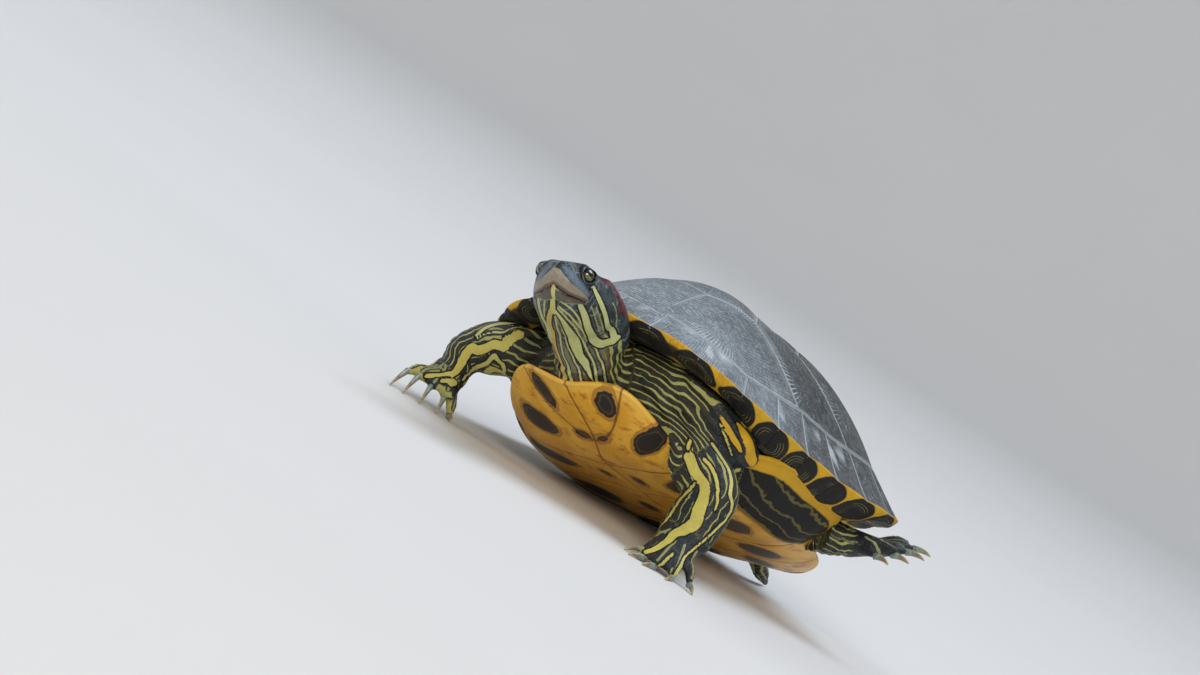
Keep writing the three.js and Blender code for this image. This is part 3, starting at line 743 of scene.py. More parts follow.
bodyStripes = {
    "wide": [
        (0.45, [[64, 52, -27, 2.2], [61.3, 55.6, -31.8, 2.3], [59.5, 58.7, -34.4, 2.5],
                [57.9, 61.7, -36.6, 2.3], [57.6, 62.9, -41.8, 2.4], [57.8, 63.2, -47, 2.7],
                [57.5, 63.6, -52.9, 2.7], [58.1, 60.7, -56.9, 2.3], [59.5, 57.7, -60.9, 1.9],
                [62.4, 57.6, -65.7, 1.6], [66.1, 56.1, -70.2, 1.2], [68, 53.5, -73.2, 1]]),
        (0.4, [[60, 57, -26, 0.8], [58.7, 60.1, -27.5, 0.8], [56.7, 63.8, -31.5, 0.8],
               [55.6, 66.2, -36.1, 0.7], [54.7, 67.9, -41.4, 0.5], [54.7, 68.3, -44.4, 0.3]]),
        (0.3, [[58, 56, -18, 0.9], [54.9, 60.5, -21.6, 0.9], [52.4, 64.2, -25.2, 1], [51.3, 66.9, -29.8, 1],
               [51.4, 69.6, -35.4, 1], [48.8, 70.8, -39.2, 0.9], [48.8, 71.2, -44.2, 0.7],
               [51.4, 71.1, -50.6, 0.6], [53.5, 69.5, -56.9, 0.5], [56, 68.1, -63, 0.5],
               [58.9, 67.5, -68, 0.5], [59.8, 68.3, -72.2, 0.8], [62, 69.1, -77.6, 0.8]]),
        (0.3, [[62.7, 63, -69.7, 0.65], [64.4, 61.9, -73.7, 0.65], [65.4, 61.4, -77.3, 0.6]]),
        (0.4, [[59.5, 57.2, -35.8, 0.5], [57.6, 55.1, -39.5, 0.9], [57.4, 53.6, -43.7, 0.9],
               [58, 52, -50, 0.9], [59, 50.5, -58, 0.7], [62, 49.5, -64, 0.5]]),
        (0.3, [[56.1, 50.8, -46.1, 0.5], [55.5, 49, -52, 0.5], [57, 47.8, -58, 0.4]]),
        (0.5, [[64.8, 49.5, -20.8, 0.8], [64.3, 50.5, -23.4, 0.8]]),
        (0.45, [[67.5, -40, 2, 1.6], [78, -41.5, -1, 1.9], [86.6, -44, -5.8, 2.0], [87.4, -48.6, -5.8, 2.0],
                [86.8, -52.7, -8.1, 2.0], [85.9, -57.5, -9.8, 2.1], [86.6, -60.4, -9.6, 2.0],
                [84.8, -63.4, -13.3, 1.9], [82.7, -65.5, -17.9, 1.6], [82.4, -67.1, -21.5, 1.3],
                [83.4, -69, -22.9, 1], [90, -74, -28, 0.9]]),
        (0.15, [[74, -40, 8, 1.3], [80, -42, 6, 1.3], [84, -47, 4.5, 1.5], [85.5, -53, 4, 1.5],
                [86.6, -57.4, 1, 1.2], [87.3, -60, -3.5, 0.9]]),
        (0.1, [[72, -38, 5, 0.5], [83, -43, 1.5, 0.6], [86.7, -46, -0.6, 0.6], [87.6, -51.5, -0.9, 0.6],
               [87.3, -56.3, -2.9, 0.5], [87.2, -58.6, -5, 0.5]]),
        (0.3, [[74, -41, -8, 0.8], [81.5, -44.5, -9.3, 0.9], [85.1, -47.8, -10.1, 1],
               [82.3, -52.8, -13.3, 1], [78.8, -59.9, -14.8, 1], [77.1, -63.3, -17.6, 0.9],
               [77.4, -65, -21.5, 0.8]]),
        (0.4, [[78, -45, -12.5, 1.2], [79.8, -50, -14.8, 1.8], [76.5, -55, -16, 1.6]]),
        (1.5, [[61.9, 57.3, -5.7, 0.6], [59.7, 59.2, -7.7, 1.1], [57.5, 61.1, -9.6, 1.3],
               [55.1, 62.7, -11.5, 1.3], [52.6, 64.2, -12.9, 1.2], [49.3, 65.1, -14.5, 0.7]]),
        (1.5, [[55, 63, -4.5, 1.0], [52, 65, -7.2, 2.2], [48.5, 66.6, -9.8, 3.0], [44, 66.8, -12.6, 3.2],
               [39, 66.5, -14.5, 2.4]]),
        (0.4, [[61.6, 58.1, -8.8, 0.4], [58.7, 60.1, -11.8, 0.5], [54.8, 61.4, -14.5, 0.5],
               [50, 62.2, -17.4, 0.4]]),
        (0.3, [[79, -68, -27.5, 1], [83.2, -67.6, -26, 1], [85.2, -68.9, -27.2, 0.9]])],
    "upper": [[76, 14, 12], [74, 25, 14], [69, 36, 9], [62, 46, 2], [53, 55, -6]],
    "lower": [[82, 12, -12], [78, 22, -16], [73, 32, -18], [69, 40, -20.5], [66, 47, -25]],
}


def spaced(points, step=0.5):  # places every step along a smooth line, with any further columns carried along
    dense = curveAt(points, np.linspace(0, 1, 40 * len(points)))
    run = runAlong(dense[:, :3])
    at = np.linspace(0, run[-1], max(3, int(run[-1] / step)))
    return np.stack([np.interp(at, run, column) for column in dense.T], 1)


def headToBody(rows, side=1, wide=None):  # rows of the head's stripes; thin ones have one half width
    rows = np.array([[*row[:3], wide or row[3]] for row in rows], float) * [1, side, 1, 1]
    rows[:, :3] = fromHead(rows[:, :3])
    return rows


def downNeck(rows, course):  # carries a stripe on down the neck: its two angles, its end and its half width
    if course is None:
        return rows
    first, last, end, half = course
    start = 0.66
    t = np.linspace(start, end, 10)
    a = np.radians(np.interp(t, [end, start], [last, first]) + 1.5 * np.sin(t * 17 + first))
    w = np.interp(t, [end, start], [half, rows[-1][3]])
    return np.vstack([rows, np.column_stack([limbSurface("neck", t, a), w])])


def gatherStripes():  # every stripe's hue and rows of x, y, z and half width, wide ones and thin ones apart
    wide = [(hue, downNeck(headToBody(rows), course)) for hue, course, rows in headStripes["middle"]]
    thin = []
    for side in (1, -1):
        wide += [(hue, headToBody(rows, side)) for hue, rows in headStripes["pair"]]
        thin += [(0.15, headToBody(rows, side, 0.36)) for rows in headStripes["finePair"]]
    thin += [(0.2, downNeck(headToBody(rows, 1, 0.42), course)) for course, rows in headStripes["fineMiddle"]]
    wide += [(hue, np.array(rows, float)) for hue, rows in bodyStripes["wide"]]
    for foot in feet:
        for k in range(5):
            toe = np.array(limbs[f"toe{foot}{k}"]["stations"])[:, :3]
            line = curveAt(toe, np.linspace(0.0, 1, 8)) + up * 3
            thin.append((0.15, np.column_stack([line, np.full(8, 0.55)])))
    return wide, thin


# Where fine stripes run along a limb: degrees between them, where they begin and end, and their strength.
fans = {"foreLeft": (19, 0.3, 0.98, 1), "foreRight": (19, 0.15, 0.98, 1), "hindLeft": (24, 0.2, 1, 1),
        "hindRight": (24, 0.2, 1, 1), "tail": (60, 0.1, 0.95, 0.8)}


def fanFields(p):  # a number that grows by one from each fine stripe to the next, and how strongly they show
    fan, strength = np.zeros(len(p)), np.zeros(len(p))

    def around(name):
        t, _, out = limbChart(name, p)
        line, _, side, over = limbFrame(name, t)
        gap = p - line
        return t, out, np.degrees(np.arctan2((gap * over).sum(1), (gap * side).sum(1)))

    h = headFrame(p)
    for side in (1, -1):  # the shoulders: lines that sweep from the neck down to the foreleg
        borders = (spaced(np.array(bodyStripes[k]) * [1, side, 1], 2.0) for k in ("upper", "lower"))
        above, below = (np.sqrt(((p[:, None] - border) ** 2).sum(2).min(1)) for border in borders)
        w = above / np.maximum(above + below, 1e-6)
        use = (p[:, 0] > 30) & (p[:, 1] * side > 4)
        fan = np.where(use, w * 13 + p[:, 1] * side * 0.05, fan)
        # the stripes fade out towards the rim, which leaves the skin there dark as painted shade under the
        # shell
        strength = np.where(use, smooth((w - 0.1) / 0.12), strength)
    for name, (step, low, high, strong) in fans.items():
        t, out, angle = around(name)
        fore = "fore" in name
        use = (out < (21 if fore else 17)) & (t > low) & (t <= high) & ((h[:, 0] > 60) | (not fore))
        fan = np.where(use, angle / step + t * 0.6, fan)
        ends = smooth((t - low) / 0.08) * smooth((1.02 - t) / 0.12)
        fewer = 1 - (0.45 * smooth((t - 0.45) / 0.15) if fore else 0)
        strength = np.where(use, strong * ends * fewer, strength)
    t, out, angle = around("neck")
    wide = 19.5
    use = (out < wide) & (h[:, 0] > 44) & (t > 0.18)
    fan = np.where(use, angle / 12.5, fan)
    calm = 1 - smooth((-18 - angle) / 6) * smooth((angle + 130) / 6)  # drawn one by one underneath
    strength = np.where(use, smooth((0.9 - t) / 0.08) * smooth((t - 0.18) / 0.06) * calm, strength)
    strength *= smooth((distanceTo(p, [[62, 59, -8], [55, 64, -13], [40, 66, -14]]) - 6) / 3)
    strength *= smooth((distanceTo(p, [[52, 60, -17], [46, 63, -19], [40, 64, -18]]) - 4) / 2)
    border = smooth(np.abs(out - wide) / 1.2)
    strength *= (h[:, 0] > 44) * np.where((p[:, 0] > 50) & (t > 0.15), border, 1)
    return fan, strength


def nearestStripe(points, stripes, tree):
    # for each point: signed and full distance to the nearest stripe, its half width and its hue
    rows = []
    for hue, line in stripes:
        line = spaced(line)
        for q, along in zip(line, np.gradient(line[:, :3], axis=0)):
            where, normal, _, gap = tree.find_nearest(Vector(q[:3]))
            if where is not None and gap <= 9:
                along = unit(along)
                rows.append([*where, *np.cross(np.array(normal), along), *along, q[3], hue])
    rows = np.array(rows)
    finder = KDTree(len(rows))
    for i, row in enumerate(rows):
        finder.insert(Vector(row[:3]), i)
    finder.balance()
    near = rows[[finder.find(Vector(q))[1] for q in points]]
    gap = points - near[:, :3]
    signed = (gap * near[:, 3:6]).sum(1)
    beyond = np.maximum(np.abs((gap * near[:, 6:9]).sum(1)) - 0.3, 0)
    depth = np.linalg.norm(gap, axis=1)
    return signed, np.where(depth > 3.5, depth, np.hypot(signed, beyond)), near[:, 9], near[:, 10]


def paintFields(flesh):
    p, n = pointsOf(flesh), normalsOf(flesh)
    tree = treeOf(flesh)
    wide, thin = gatherStripes()
    _, full, half, hue = nearestStripe(p, wide, tree)
    fields = {"stripe": half - full, "hue": hue}  # the first is above 0 within a wide stripe
    across = ("lineAcross", "lineGap", "lineHalf", "lineHue")
    fields.update(zip(across, nearestStripe(p, thin, tree)))
    fields["fan"], fields["fanStrength"] = fanFields(p)
    h = headFrame(p)
    mirrored = h * [1, 0, 1] + np.abs(h * [0, 1, 0])
    axis = unit(np.array(head["gaze"]) * [-1, 1, 1])
    fromEye = mirrored - head["eye"]
    high = fromEye @ axis
    fields["eyeRing"] = np.where(high > 0, np.linalg.norm(fromEye - high[:, None] * axis, axis=1), 99)
    fields["headward"] = smooth((62 - h[:, 0]) / 8) * (np.abs(h[:, 1]) < 24) * (h[:, 2] > -30)
    for name in ("red", "blue"):
        margin = np.full(len(p), -99.0)
        for q in spaced(headStripes[name], 0.5):
            margin = np.maximum(margin, q[3] - np.linalg.norm(mirrored - q[:3], axis=1))
        fields[name] = margin
    throat = smooth((-12 - h[:, 2]) / 6) * smooth((h[:, 0] - 4) / 10)
    _, _, neckOut = limbChart("neck", p)
    fields["brown"] = throat * (neckOut < 26) * (h[:, 0] < 100) * (1 - smooth((h[:, 1] - 10.5) / 3.5))
    groin = smooth((-20 - p[:, 0]) / 20) * smooth((n @ [0.6, 0.7, -0.3] - 0.1) / 0.5)
    fields["pink"] = groin * smooth((58 - p[:, 1]) / 12) * (p[:, 1] > 20)
    inward = 1 - smooth((np.abs(p[:, 1]) - 50) / 8)
    fields["shoulder"] = smooth((p[:, 0] - 20) / 30) * inward * (h[:, 0] > 70)
    for name, values in fields.items():
        addField(flesh, name, values)


def makeFlesh():
    parts = [addLimb(name) for name in list(limbs)] + [addHead()]
    for foot, plan in feet.items():
        wrist = np.array(plan["wrist"], float)
        ends = [np.array(toe, float) for toe, _ in plan["toes"]]
        middle = ends[2]
        spread = np.linalg.norm(ends[0] - ends[4]) / 2
        limbs["palm" + foot] = dict(top=up, stations=[
            [*wrist, plan.get("cuff", 8.5), 6], [*(wrist * 0.5 + middle * 0.5), spread * 0.72, 4.2],
            [*(wrist * 0.14 + middle * 0.86), spread * 0.86, 1.6]])
        parts.append(addLimb("palm" + foot, 40, 40, 6, 0.5))
        r = toeRadius[foot]
        for k, end in enumerate(ends):
            root = wrist * 0.55 + end * 0.45
            joint = root * 0.45 + end * 0.55 + up * 1.4
            short = end - unit(end - joint) * 1.4
            parts.append(addTube(f"toe{foot}{k}", [root, joint, short], [r, r, r * 0.68], flat=0.95))
    flesh = joinPieces(parts, "skin")
    turnOutwards(flesh)
    applyModifier(flesh, "REMESH", mode="VOXEL", voxel_size=1.12)
    applyModifier(flesh, "SMOOTH", factor=0.5, iterations=5)
    refineHead(flesh)
    sculpt(flesh)
    paintFields(flesh)
    return flesh


def refineHead(flesh):  # finer faces on the head, where the thin lines are, and finer still round the eyes
    for fromEye in (99, 8.5):
        only(flesh)
        editMesh(select_mode=("type", "FACE"), select_all=("action", "DESELECT"))
        centres = np.zeros(len(flesh.data.polygons) * 3)
        flesh.data.polygons.foreach_get("center", centres)
        h = headFrame(centres.reshape(-1, 3))
        eyeward = np.linalg.norm(h * [1, 0, 1] + np.abs(h * [0, 1, 0]) - head["eye"], axis=1) < fromEye
        flesh.data.polygons.foreach_set(
            "select", (h[:, 0] < 54) & (np.abs(h[:, 1]) < 24) & (h[:, 2] > -24) & eyeward)
        editMesh(subdivide=("number_cuts", 1))
    applyModifier(flesh, "SMOOTH", factor=0.5, iterations=2)


def limbChart(name, points):  # places along a limb, 0 to 1 and in millimetres, and distances from its middle
    steps = 160
    line = curveAt(np.array(limbs[name]["stations"], float)[:, :3], np.linspace(0, 1, steps))
    run = runAlong(line)
    nearest = np.zeros(len(points), int)
    best = np.full(len(points), 1e9)
    for k, q in enumerate(line):
        d = ((points - q) ** 2).sum(1)
        closer = d < best
        best[closer], nearest[closer] = d[closer], k
    return nearest / (steps - 1), run[nearest], np.sqrt(best)


def distanceTo(points, line):  # from a smooth line through a few places
    best = np.full(len(points), 1e9)
    for q in spaced(line, 0.5):
        best = np.minimum(best, ((points - q[:3]) ** 2).sum(1))
    return np.sqrt(best)


def hump(distance, radius):
    return np.exp(-(distance / radius) ** 2)


def wander(p, scale, seed):  # smooth noise of about -1 to 1, from a few waves
    waves = random.Random(seed)
    total = np.zeros(len(p))
    for _ in range(7):
        direction = unit([waves.gauss(0, 1) for _ in range(3)])
        length = scale * waves.uniform(0.7, 1.5)
        total += np.sin(p @ direction * (2 * math.pi / length) + waves.random() * 6.3)
    return total / 2.6


# Forms on each side of the head: height, radius, centre, and the stretch along each axis.
headForms = [
    (-0.9, 0.6, [0.3, 1.25, 0.9], [1, 1, 1]), (1.3, 3.0, [11.5, 8.8, 6.2], [1.4, 0.9, 0.8]),
    (-2.0, 4.0, [22.5, 12, 6.5], [1.5, 1, 1]), (-0.7, 2.4, [5.5, 4.5, 4.6], [1, 1.6, 1]),
    (0.5, 2.2, [3.0, 4.5, 3.0], [1, 1, 1])]


def sculpt(flesh):
    p, n = pointsOf(flesh), normalsOf(flesh)
    h = headFrame(p)
    onHead = (h[:, 0] < 56) & (np.abs(h[:, 1]) < 24) & (np.abs(h[:, 2] + 6) < 26)

    # loose folds: round the neck, over the shoulders and in front of the hind legs
    t, run, out = limbChart("neck", p)
    neck = (out < 24) & ~onHead
    folds = np.sin(run * 2 * math.pi / 6.5 + 1.6 * wander(p, 22, 3)) * neck * smooth((t - 0.02) / 0.15)
    lengthwise = np.sin(np.arctan2(p[:, 2] + 7, p[:, 1] - 4) * 15 + wander(p, 25, 5) * 1.5) * neck
    p += n * (0.4 * folds + 0.35 * lengthwise)[:, None]
    for side, name in ((1, "foreLeft"), (-1, "foreRight")):
        t, run, out = limbChart(name, p)
        shoulder = (out < 26) * smooth((0.42 - t) / 0.25) * ~neck * (p[:, 1] * side > 0)
        slanted = np.sin(p[:, 1] * side * 0.62 + p[:, 2] * 0.75 + wander(p, 20, 8))
        p += n * (0.75 * slanted * shoulder)[:, None]
        lower = (out < 17) * smooth((t - 0.5) / 0.12)
        scale = np.abs(np.sin(run * math.pi / 2.7 + 0.7 * wander(p, 9, 11))) ** 0.6
        p += n * ((scale - 0.7) * 0.55 * lower)[:, None]
    for name in ("hindLeft", "hindRight", "tail"):
        t, run, out = limbChart(name, p)
        folds = np.sin(run * 2 * math.pi / 3.6 + wander(p, 9, 13))
        p += n * (0.3 * folds * (out < 16) * smooth(t / 0.3))[:, None]
    for foot in feet:  # rows of scales across the toes
        for k in range(5):
            t, run, out = limbChart(f"toe{foot}{k}", p)
            band = (out < 4.2) * smooth((t - 0.25) / 0.2) * (n @ up > -0.2)
            p += n * (0.22 * (np.abs(np.sin(run * math.pi / 2.1)) - 0.6) * band)[:, None]

    # the head: a flat crown, nostrils, brows, cheeks and snout, the ear drums and the line of the mouth
    h = headFrame(p)
    rise = -1.1 * hump(np.linalg.norm((h - [10, 0, 6.5]) / [1.8, 1.1, 1], axis=1), 4.2)
    for side in (1, -1):
        at = h * [1, side, 1]
        for high, radius, centre, stretch in headForms:
            rise += high * hump(np.linalg.norm((at - centre) / stretch, axis=1), radius)
        drum = np.linalg.norm((at - [33, 17.5, -5]) * [1, 0.4, 1], axis=1)
        rise -= 0.3 * hump(drum - 4.5, 0.9) * (at[:, 1] > 8)
        rise -= 0.75 * hump(distanceTo(at, head["mouth"]), 0.45) * onHead
    p += n * rise[:, None]

    # lids round each eye; the upper one droops
    h = headFrame(p)
    opening = head["opening"]
    for side in (1, -1):
        axis = unit(np.array(head["gaze"]) * [-1, side, 1])
        q = h - [head["eye"][0], side * head["eye"][1], head["eye"][2]]
        high = q @ axis
        flat = q - high[:, None] * axis
        backward = unit(np.array([1, 0, 0]) - axis * axis[0])
        above = np.cross(backward, axis) * side
        above *= np.sign(above[2])
        a, b = flat @ backward, flat @ above
        r = np.hypot(a * 0.87, b * np.where(b > 0, 1.32, 1.1))
        lid = np.sqrt(np.maximum(4.8**2 - r**2, 0.3))
        inside = np.where(r < opening, np.minimum(high, 1.6), 0)
        margin = smooth((r - opening) / 0.42)
        keep = smooth((r - 3.7) / 1.5)
        crease = 0.55 * hump(r - 4.55, 0.35) - 0.18 * hump(r - 5.6, 0.5)
        lidded = inside * (1 - margin) + lid * margin
        target = np.where(r < opening, inside, lidded * (1 - keep) + (high - crease) * keep)
        use = (high > -0.5) & (r < 7) & onHead
        h = np.where(use[:, None], h + axis * (target - high)[:, None], h)
    p = np.where(onHead[:, None], fromHead(h), p)

    # nothing pokes through the marginals, the belly shell or the floor
    angle, share = planToChart(p[:, 0], p[:, 1])
    under = backSurface(angle, np.clip(1 + (1 - share) / (1 - shell["lip"]), 1.02, 2))[:, 2] - 0.6
    bounded = (share > shell["lip"] - 0.045) & (share < 1.03)
    p[:, 2] = np.where(bounded, np.minimum(p[:, 2], under), p[:, 2])
    edge = bellyEdge[turnNumber(np.arctan2(p[:, 1], p[:, 0]), bellySteps)]
    share = np.hypot(p[:, 0], p[:, 1]) / np.hypot(edge[:, 0], edge[:, 1])
    plate = bellyZ(edge[:, 0] * share) + (edge[:, 2] - bellyZ(edge[:, 0])) * share**7 + shell["plate"] - 1.8
    within = (share < 1.0) & (p[:, 2] < plate) & (p[:, 2] > plate - 18)
    p[:, 2] = np.where(within, plate, p[:, 2])
    keepOffFloor(p)
    setPoints(flesh, p)


def makeEye(side):
    piece, _, _ = addBall("eyeLeft" if side > 0 else "eyeRight", 48, 40)
    co = pointsOf(piece)
    axis = unit(headTurn @ (np.array(head["gaze"]) * [1, side, 1]))
    flat = unit(np.cross(up, axis))
    basis = np.stack([flat, np.cross(axis, flat), axis], 1)
    polar = np.degrees(np.arccos(np.clip(co[:, 2], -1, 1)))
    radius = head["eyeRadius"] * (1 + 0.05 * np.exp(-(polar / 28) ** 2))  # the cornea stands a little proud
    centre = headPoint(head["eye"][0], side * head["eye"][1], head["eye"][2])
    setPoints(piece, (co * radius[:, None]) @ basis.T + centre)
    for name, values in (("polar", polar), ("across", co[:, 0]), ("upward", co[:, 1])):
        addField(piece, name, values)
    return piece


# Outlines on the snout: bearing from straight ahead in degrees, and height in the head's frame.
beaks = {
    "middle": 16.5,  # the bearing is taken round an upright line this far behind the nose
    "mouthEdge": [[0, -7.3], [9.5, -8.3], [24, -9.6], [40, -9.8], [60, -9.6], [78, -9.4]],
    "ridge": [[80, -8.7], [60, -8.2], [38, -7.0], [25, -5.3], [13, -3.0], [5, -1.2], [0, -0.7]],
    "chin": [[78, -10.5], [60, -11.6], [40, -12.7], [24, -13.0], [10, -12.6], [0, -12.4]],
}


def makeBeak(name, surface, upper):  # a sheath of horn over the skin of the snout
    edge = np.array(beaks["mouthEdge"], float) + [0, 0 if upper else -0.75]
    half = np.vstack([edge, beaks["ridge" if upper else "chin"]])
    outline = np.vstack([half, (half * [-1, 1])[-2:0:-1]])

    def place(chart):
        found = np.zeros((len(chart), 3))
        for i, (bearing, z) in enumerate(chart):
            a = math.radians(bearing)
            start = headPoint(beaks["middle"] - math.cos(a) * 30, math.sin(a) * 30, z)
            inward = unit(headPoint(beaks["middle"], 0, z) - start)
            where = surface.ray_cast(Vector(start), Vector(inward))[0]
            found[i] = where if where is not None else start + inward * 16
        return found

    def normalAt(chart):
        a = np.radians(chart[:, 0])
        return np.stack([np.cos(a), np.sin(a), np.full(len(a), 0.1 if upper else -0.2)], 1) @ headTurn.T

    piece, chart = makePlate(name, outline, [0, -4.2 if upper else -10.6], place, normalAt, 160, 14)
    setPoints(piece, pointsOf(piece) + normalAt(chart) * 0.35)
    bearing = np.abs(chart[:, 0])
    addField(piece, "lower", np.full(len(chart), 0.0 if upper else 1.0))
    addField(piece, "mouth", np.abs(chart[:, 1] - np.interp(bearing, edge[:, 0], edge[:, 1])))
    addField(piece, "chin", np.full(len(chart), 9.0) if upper else bearing / 4.5)
    return piece


def makeClaw(name, toe, tip):
    rings, cap = 22, 4
    piece, ring, angle = addBall(name, 14, rings)
    toe, tip = np.array(toe, float), np.array(tip, float)
    root = toe - unit(tip - toe) * 1.0
    arch = root * 0.45 + tip * 0.55 + up * 1.7
    t = clamp01((ring - cap) / (rings - cap))
    line = root * ((1 - t) ** 2)[:, None] + arch * (2 * t * (1 - t))[:, None] + tip * (t**2)[:, None]
    along = unitRows((arch - root) * (1 - t)[:, None] + (tip - arch) * t[:, None])
    side = unitRows(np.cross(up, along))
    over = np.cross(along, side)
    radius = (1.45 * (1 - t) ** 0.75 + 0.22) * np.sin(clamp01((ring + 0.5) / cap) * math.pi / 2)
    radius = np.where(ring == rings, 0, radius)
    points = line + side * (radius * 0.8 * np.cos(angle))[:, None] + over * (radius * np.sin(angle))[:, None]
    keepOffFloor(points, 0.05)
    setPoints(piece, points)
    addField(piece, "length", t)
    return piece


def shellHorn():  # weathered keratin: slate grey with worn pale streaks and growth lines, dull and dry, with a painted sky sheen that makes the front paler
    material, add, place = startMaterial("weatheredShellKeratin")
    grow, lap, under, spot, forward, across, upward = (add("field", attribute_name=n) for n in (
        "grow", "lap", "under", "spot", "forward", "round", "round2"))
    cloudy, fine = add("noise", place, 45, 4), add("noise", place, 520, 4, 0.7)
    rays = add("noise", add("joined", across, upward, add("MULTIPLY", grow, 0.12)), 1.9, 3, 0.65)
    # frontSheen is a painted sky sheen that rises towards the front; the worn pale streaks, specks and
    # scratches below grow stronger with it
    frontSheen = add("fade", forward, -8, 82)
    wear = add("ADD", add("MULTIPLY", frontSheen, 0.36), 0.14)

    def streaks(outward, along, threshold):  # fine worn lines, out from a plate's middle or along its growth
        where = add("joined", add("MULTIPLY", lap, along), add("MULTIPLY", grow, outward),
                    add("MULTIPLY", forward, 0.03))
        return add("fade", add("noise", where, 1.0, 4, 0.7), threshold, threshold + 0.1)

    def hairs(cloud, low, high):  # thin scratches where a cloud crosses its middle value
        return add("fade", add("ABSOLUTE", add("SUBTRACT", cloud, 0.5)), low, high)

    outwards, lengthwise = streaks(0.12, 1.5, 0.53), streaks(2.2, 0.16, 0.54)
    hair = add("MAXIMUM", hairs(add("noise", place, 150), 0.02, 0.006),
               hairs(add("noise", add("stretch", place, (1, 2.2, 1)), 95, 4), 0.016, 0.005))
    rings = add("SINE", add("ADD", add("MULTIPLY", grow, 4.2), add("MULTIPLY", cloudy, 9)))
    comb = add("fade", add("SINE", add("MULTIPLY", lap, 3.6)), 0.5, 0.9)
    patches = add("fade", add("noise", place, 26, 2), 0.42, 0.56)
    scratches = add("MULTIPLY", comb, add("MULTIPLY", add("fade", grow, 7.0, 2.5), patches))
    back = add("ramp", cloudy, stops=[(0.3, "#1b1e1f"), (0.5, "#2d3233"), (0.7, "#464b4c")])
    for cover, over in (
            (add("MULTIPLY", frontSheen, 0.75), add("mix", cloudy, "#626e78", "#a6b3bc")),  # painted sky sheen: paler towards the front
            (add("fade", add("noise", place, 38), 0.52, 0.68, 0, 0.45), "#4d463a"),  # dried mud
            (add("MULTIPLY", outwards, add("MULTIPLY", wear, 0.6)), "#aab5bb"),
            (add("MULTIPLY", lengthwise, wear), "#9da8ae"),
            (add("fade", rays, 0.5, 0.68, 0, 0.1), "#a6b1b8"),
            (add("MULTIPLY", add("fade", fine, 0.55, 0.7), add("ADD", wear, 0.2)), "#b6c0c6"),
            (add("MULTIPLY", hair, add("MULTIPLY", add("ADD", wear, 0.15), 0.6)), "#cdd5d9"),
            (add("fade", fine, 0.42, 0.32, 0, 0.6), "#30363a"),  # pits
            (add("fade", rings, 0.3, 1.0, 0, 0.4), "#23282b"),  # growth rings
            (add("MULTIPLY", scratches, 0.6), "#cdd6da"),  # short upright ones next to the seams
            (add("fade", grow, 0.8, 0.1, 0, 0.6), "#b3bcbf")):  # a worn edge
        back = add("mix", cover, back, over)

    # the turned-under side: ochre yellow, with near-black spots and thin olive arcs, and painted shade in
    # dark brown under the front rim beside the neck
    shadeUnderFrontRim = add("MULTIPLY", add("fade", forward, 81, 86), add("fade", under, 0.05, 0.11))
    wavy = add("MULTIPLY", add("ADD", spot, add("MULTIPLY", cloudy, 0.35)), 7)
    arc = add("fade", add("ABSOLUTE", add("SUBTRACT", add("FRACT", wavy), 0.5)), 0.1, 0.05)
    within = add("MULTIPLY", add("fade", spot, -0.16, -0.22), add("fade", spot, -0.62, -0.5))
    broken = add("fade", add("noise", place, 60, 1), 0.44, 0.52, 0, 0.85)
    below = add("mix", cloudy, "#b98d10", "#dcae22")
    for cover, over in (
            # painted shade: dark brown under the front marginals, below a thin yellow edge
            (shadeUnderFrontRim, add("mix", cloudy, "#2a170a", "#5a3a14")),
            (add("fade", spot, 0.03, -0.03), "#120f0c"),
            (add("MULTIPLY", arc, add("MULTIPLY", within, broken)), "#8f8848")):
        below = add("mix", cover, below, over)
    colour = add("mix", add("fade", under, -0.06, 0.0), back, below)
    ridges = add("ADD", add("MULTIPLY", outwards, 0.5), add("MULTIPLY", lengthwise, 0.5))
    height = add("ADD", add("MULTIPLY", rings, 0.25), add("ADD", ridges, add("MULTIPLY", fine, 0.8)))
    roughness = add("fade", under, -0.06, 0.0, 0.52, 0.72)
    return endMaterial(material, colour, add("bump", height, 0.00035, 0.8), roughness, ior=1.54,
                       specular=0.3, coat=0.06, coatRoughness=0.35)


def seamHorn():  # the thin keratin between the plates, paler than they are; near black in the hollow
    material, add, place = startMaterial("seamKeratin")
    pale = add("mix", add("noise", place, 300), "#6d7473", "#a0a6a4")
    colour = add("mix", add("field", attribute_name="inner"), pale, "#1d1812")
    bump = add("bump", add("noise", place, 900, 2), 0.0002)
    return endMaterial(material, colour, bump, roughness=0.6, ior=1.54)


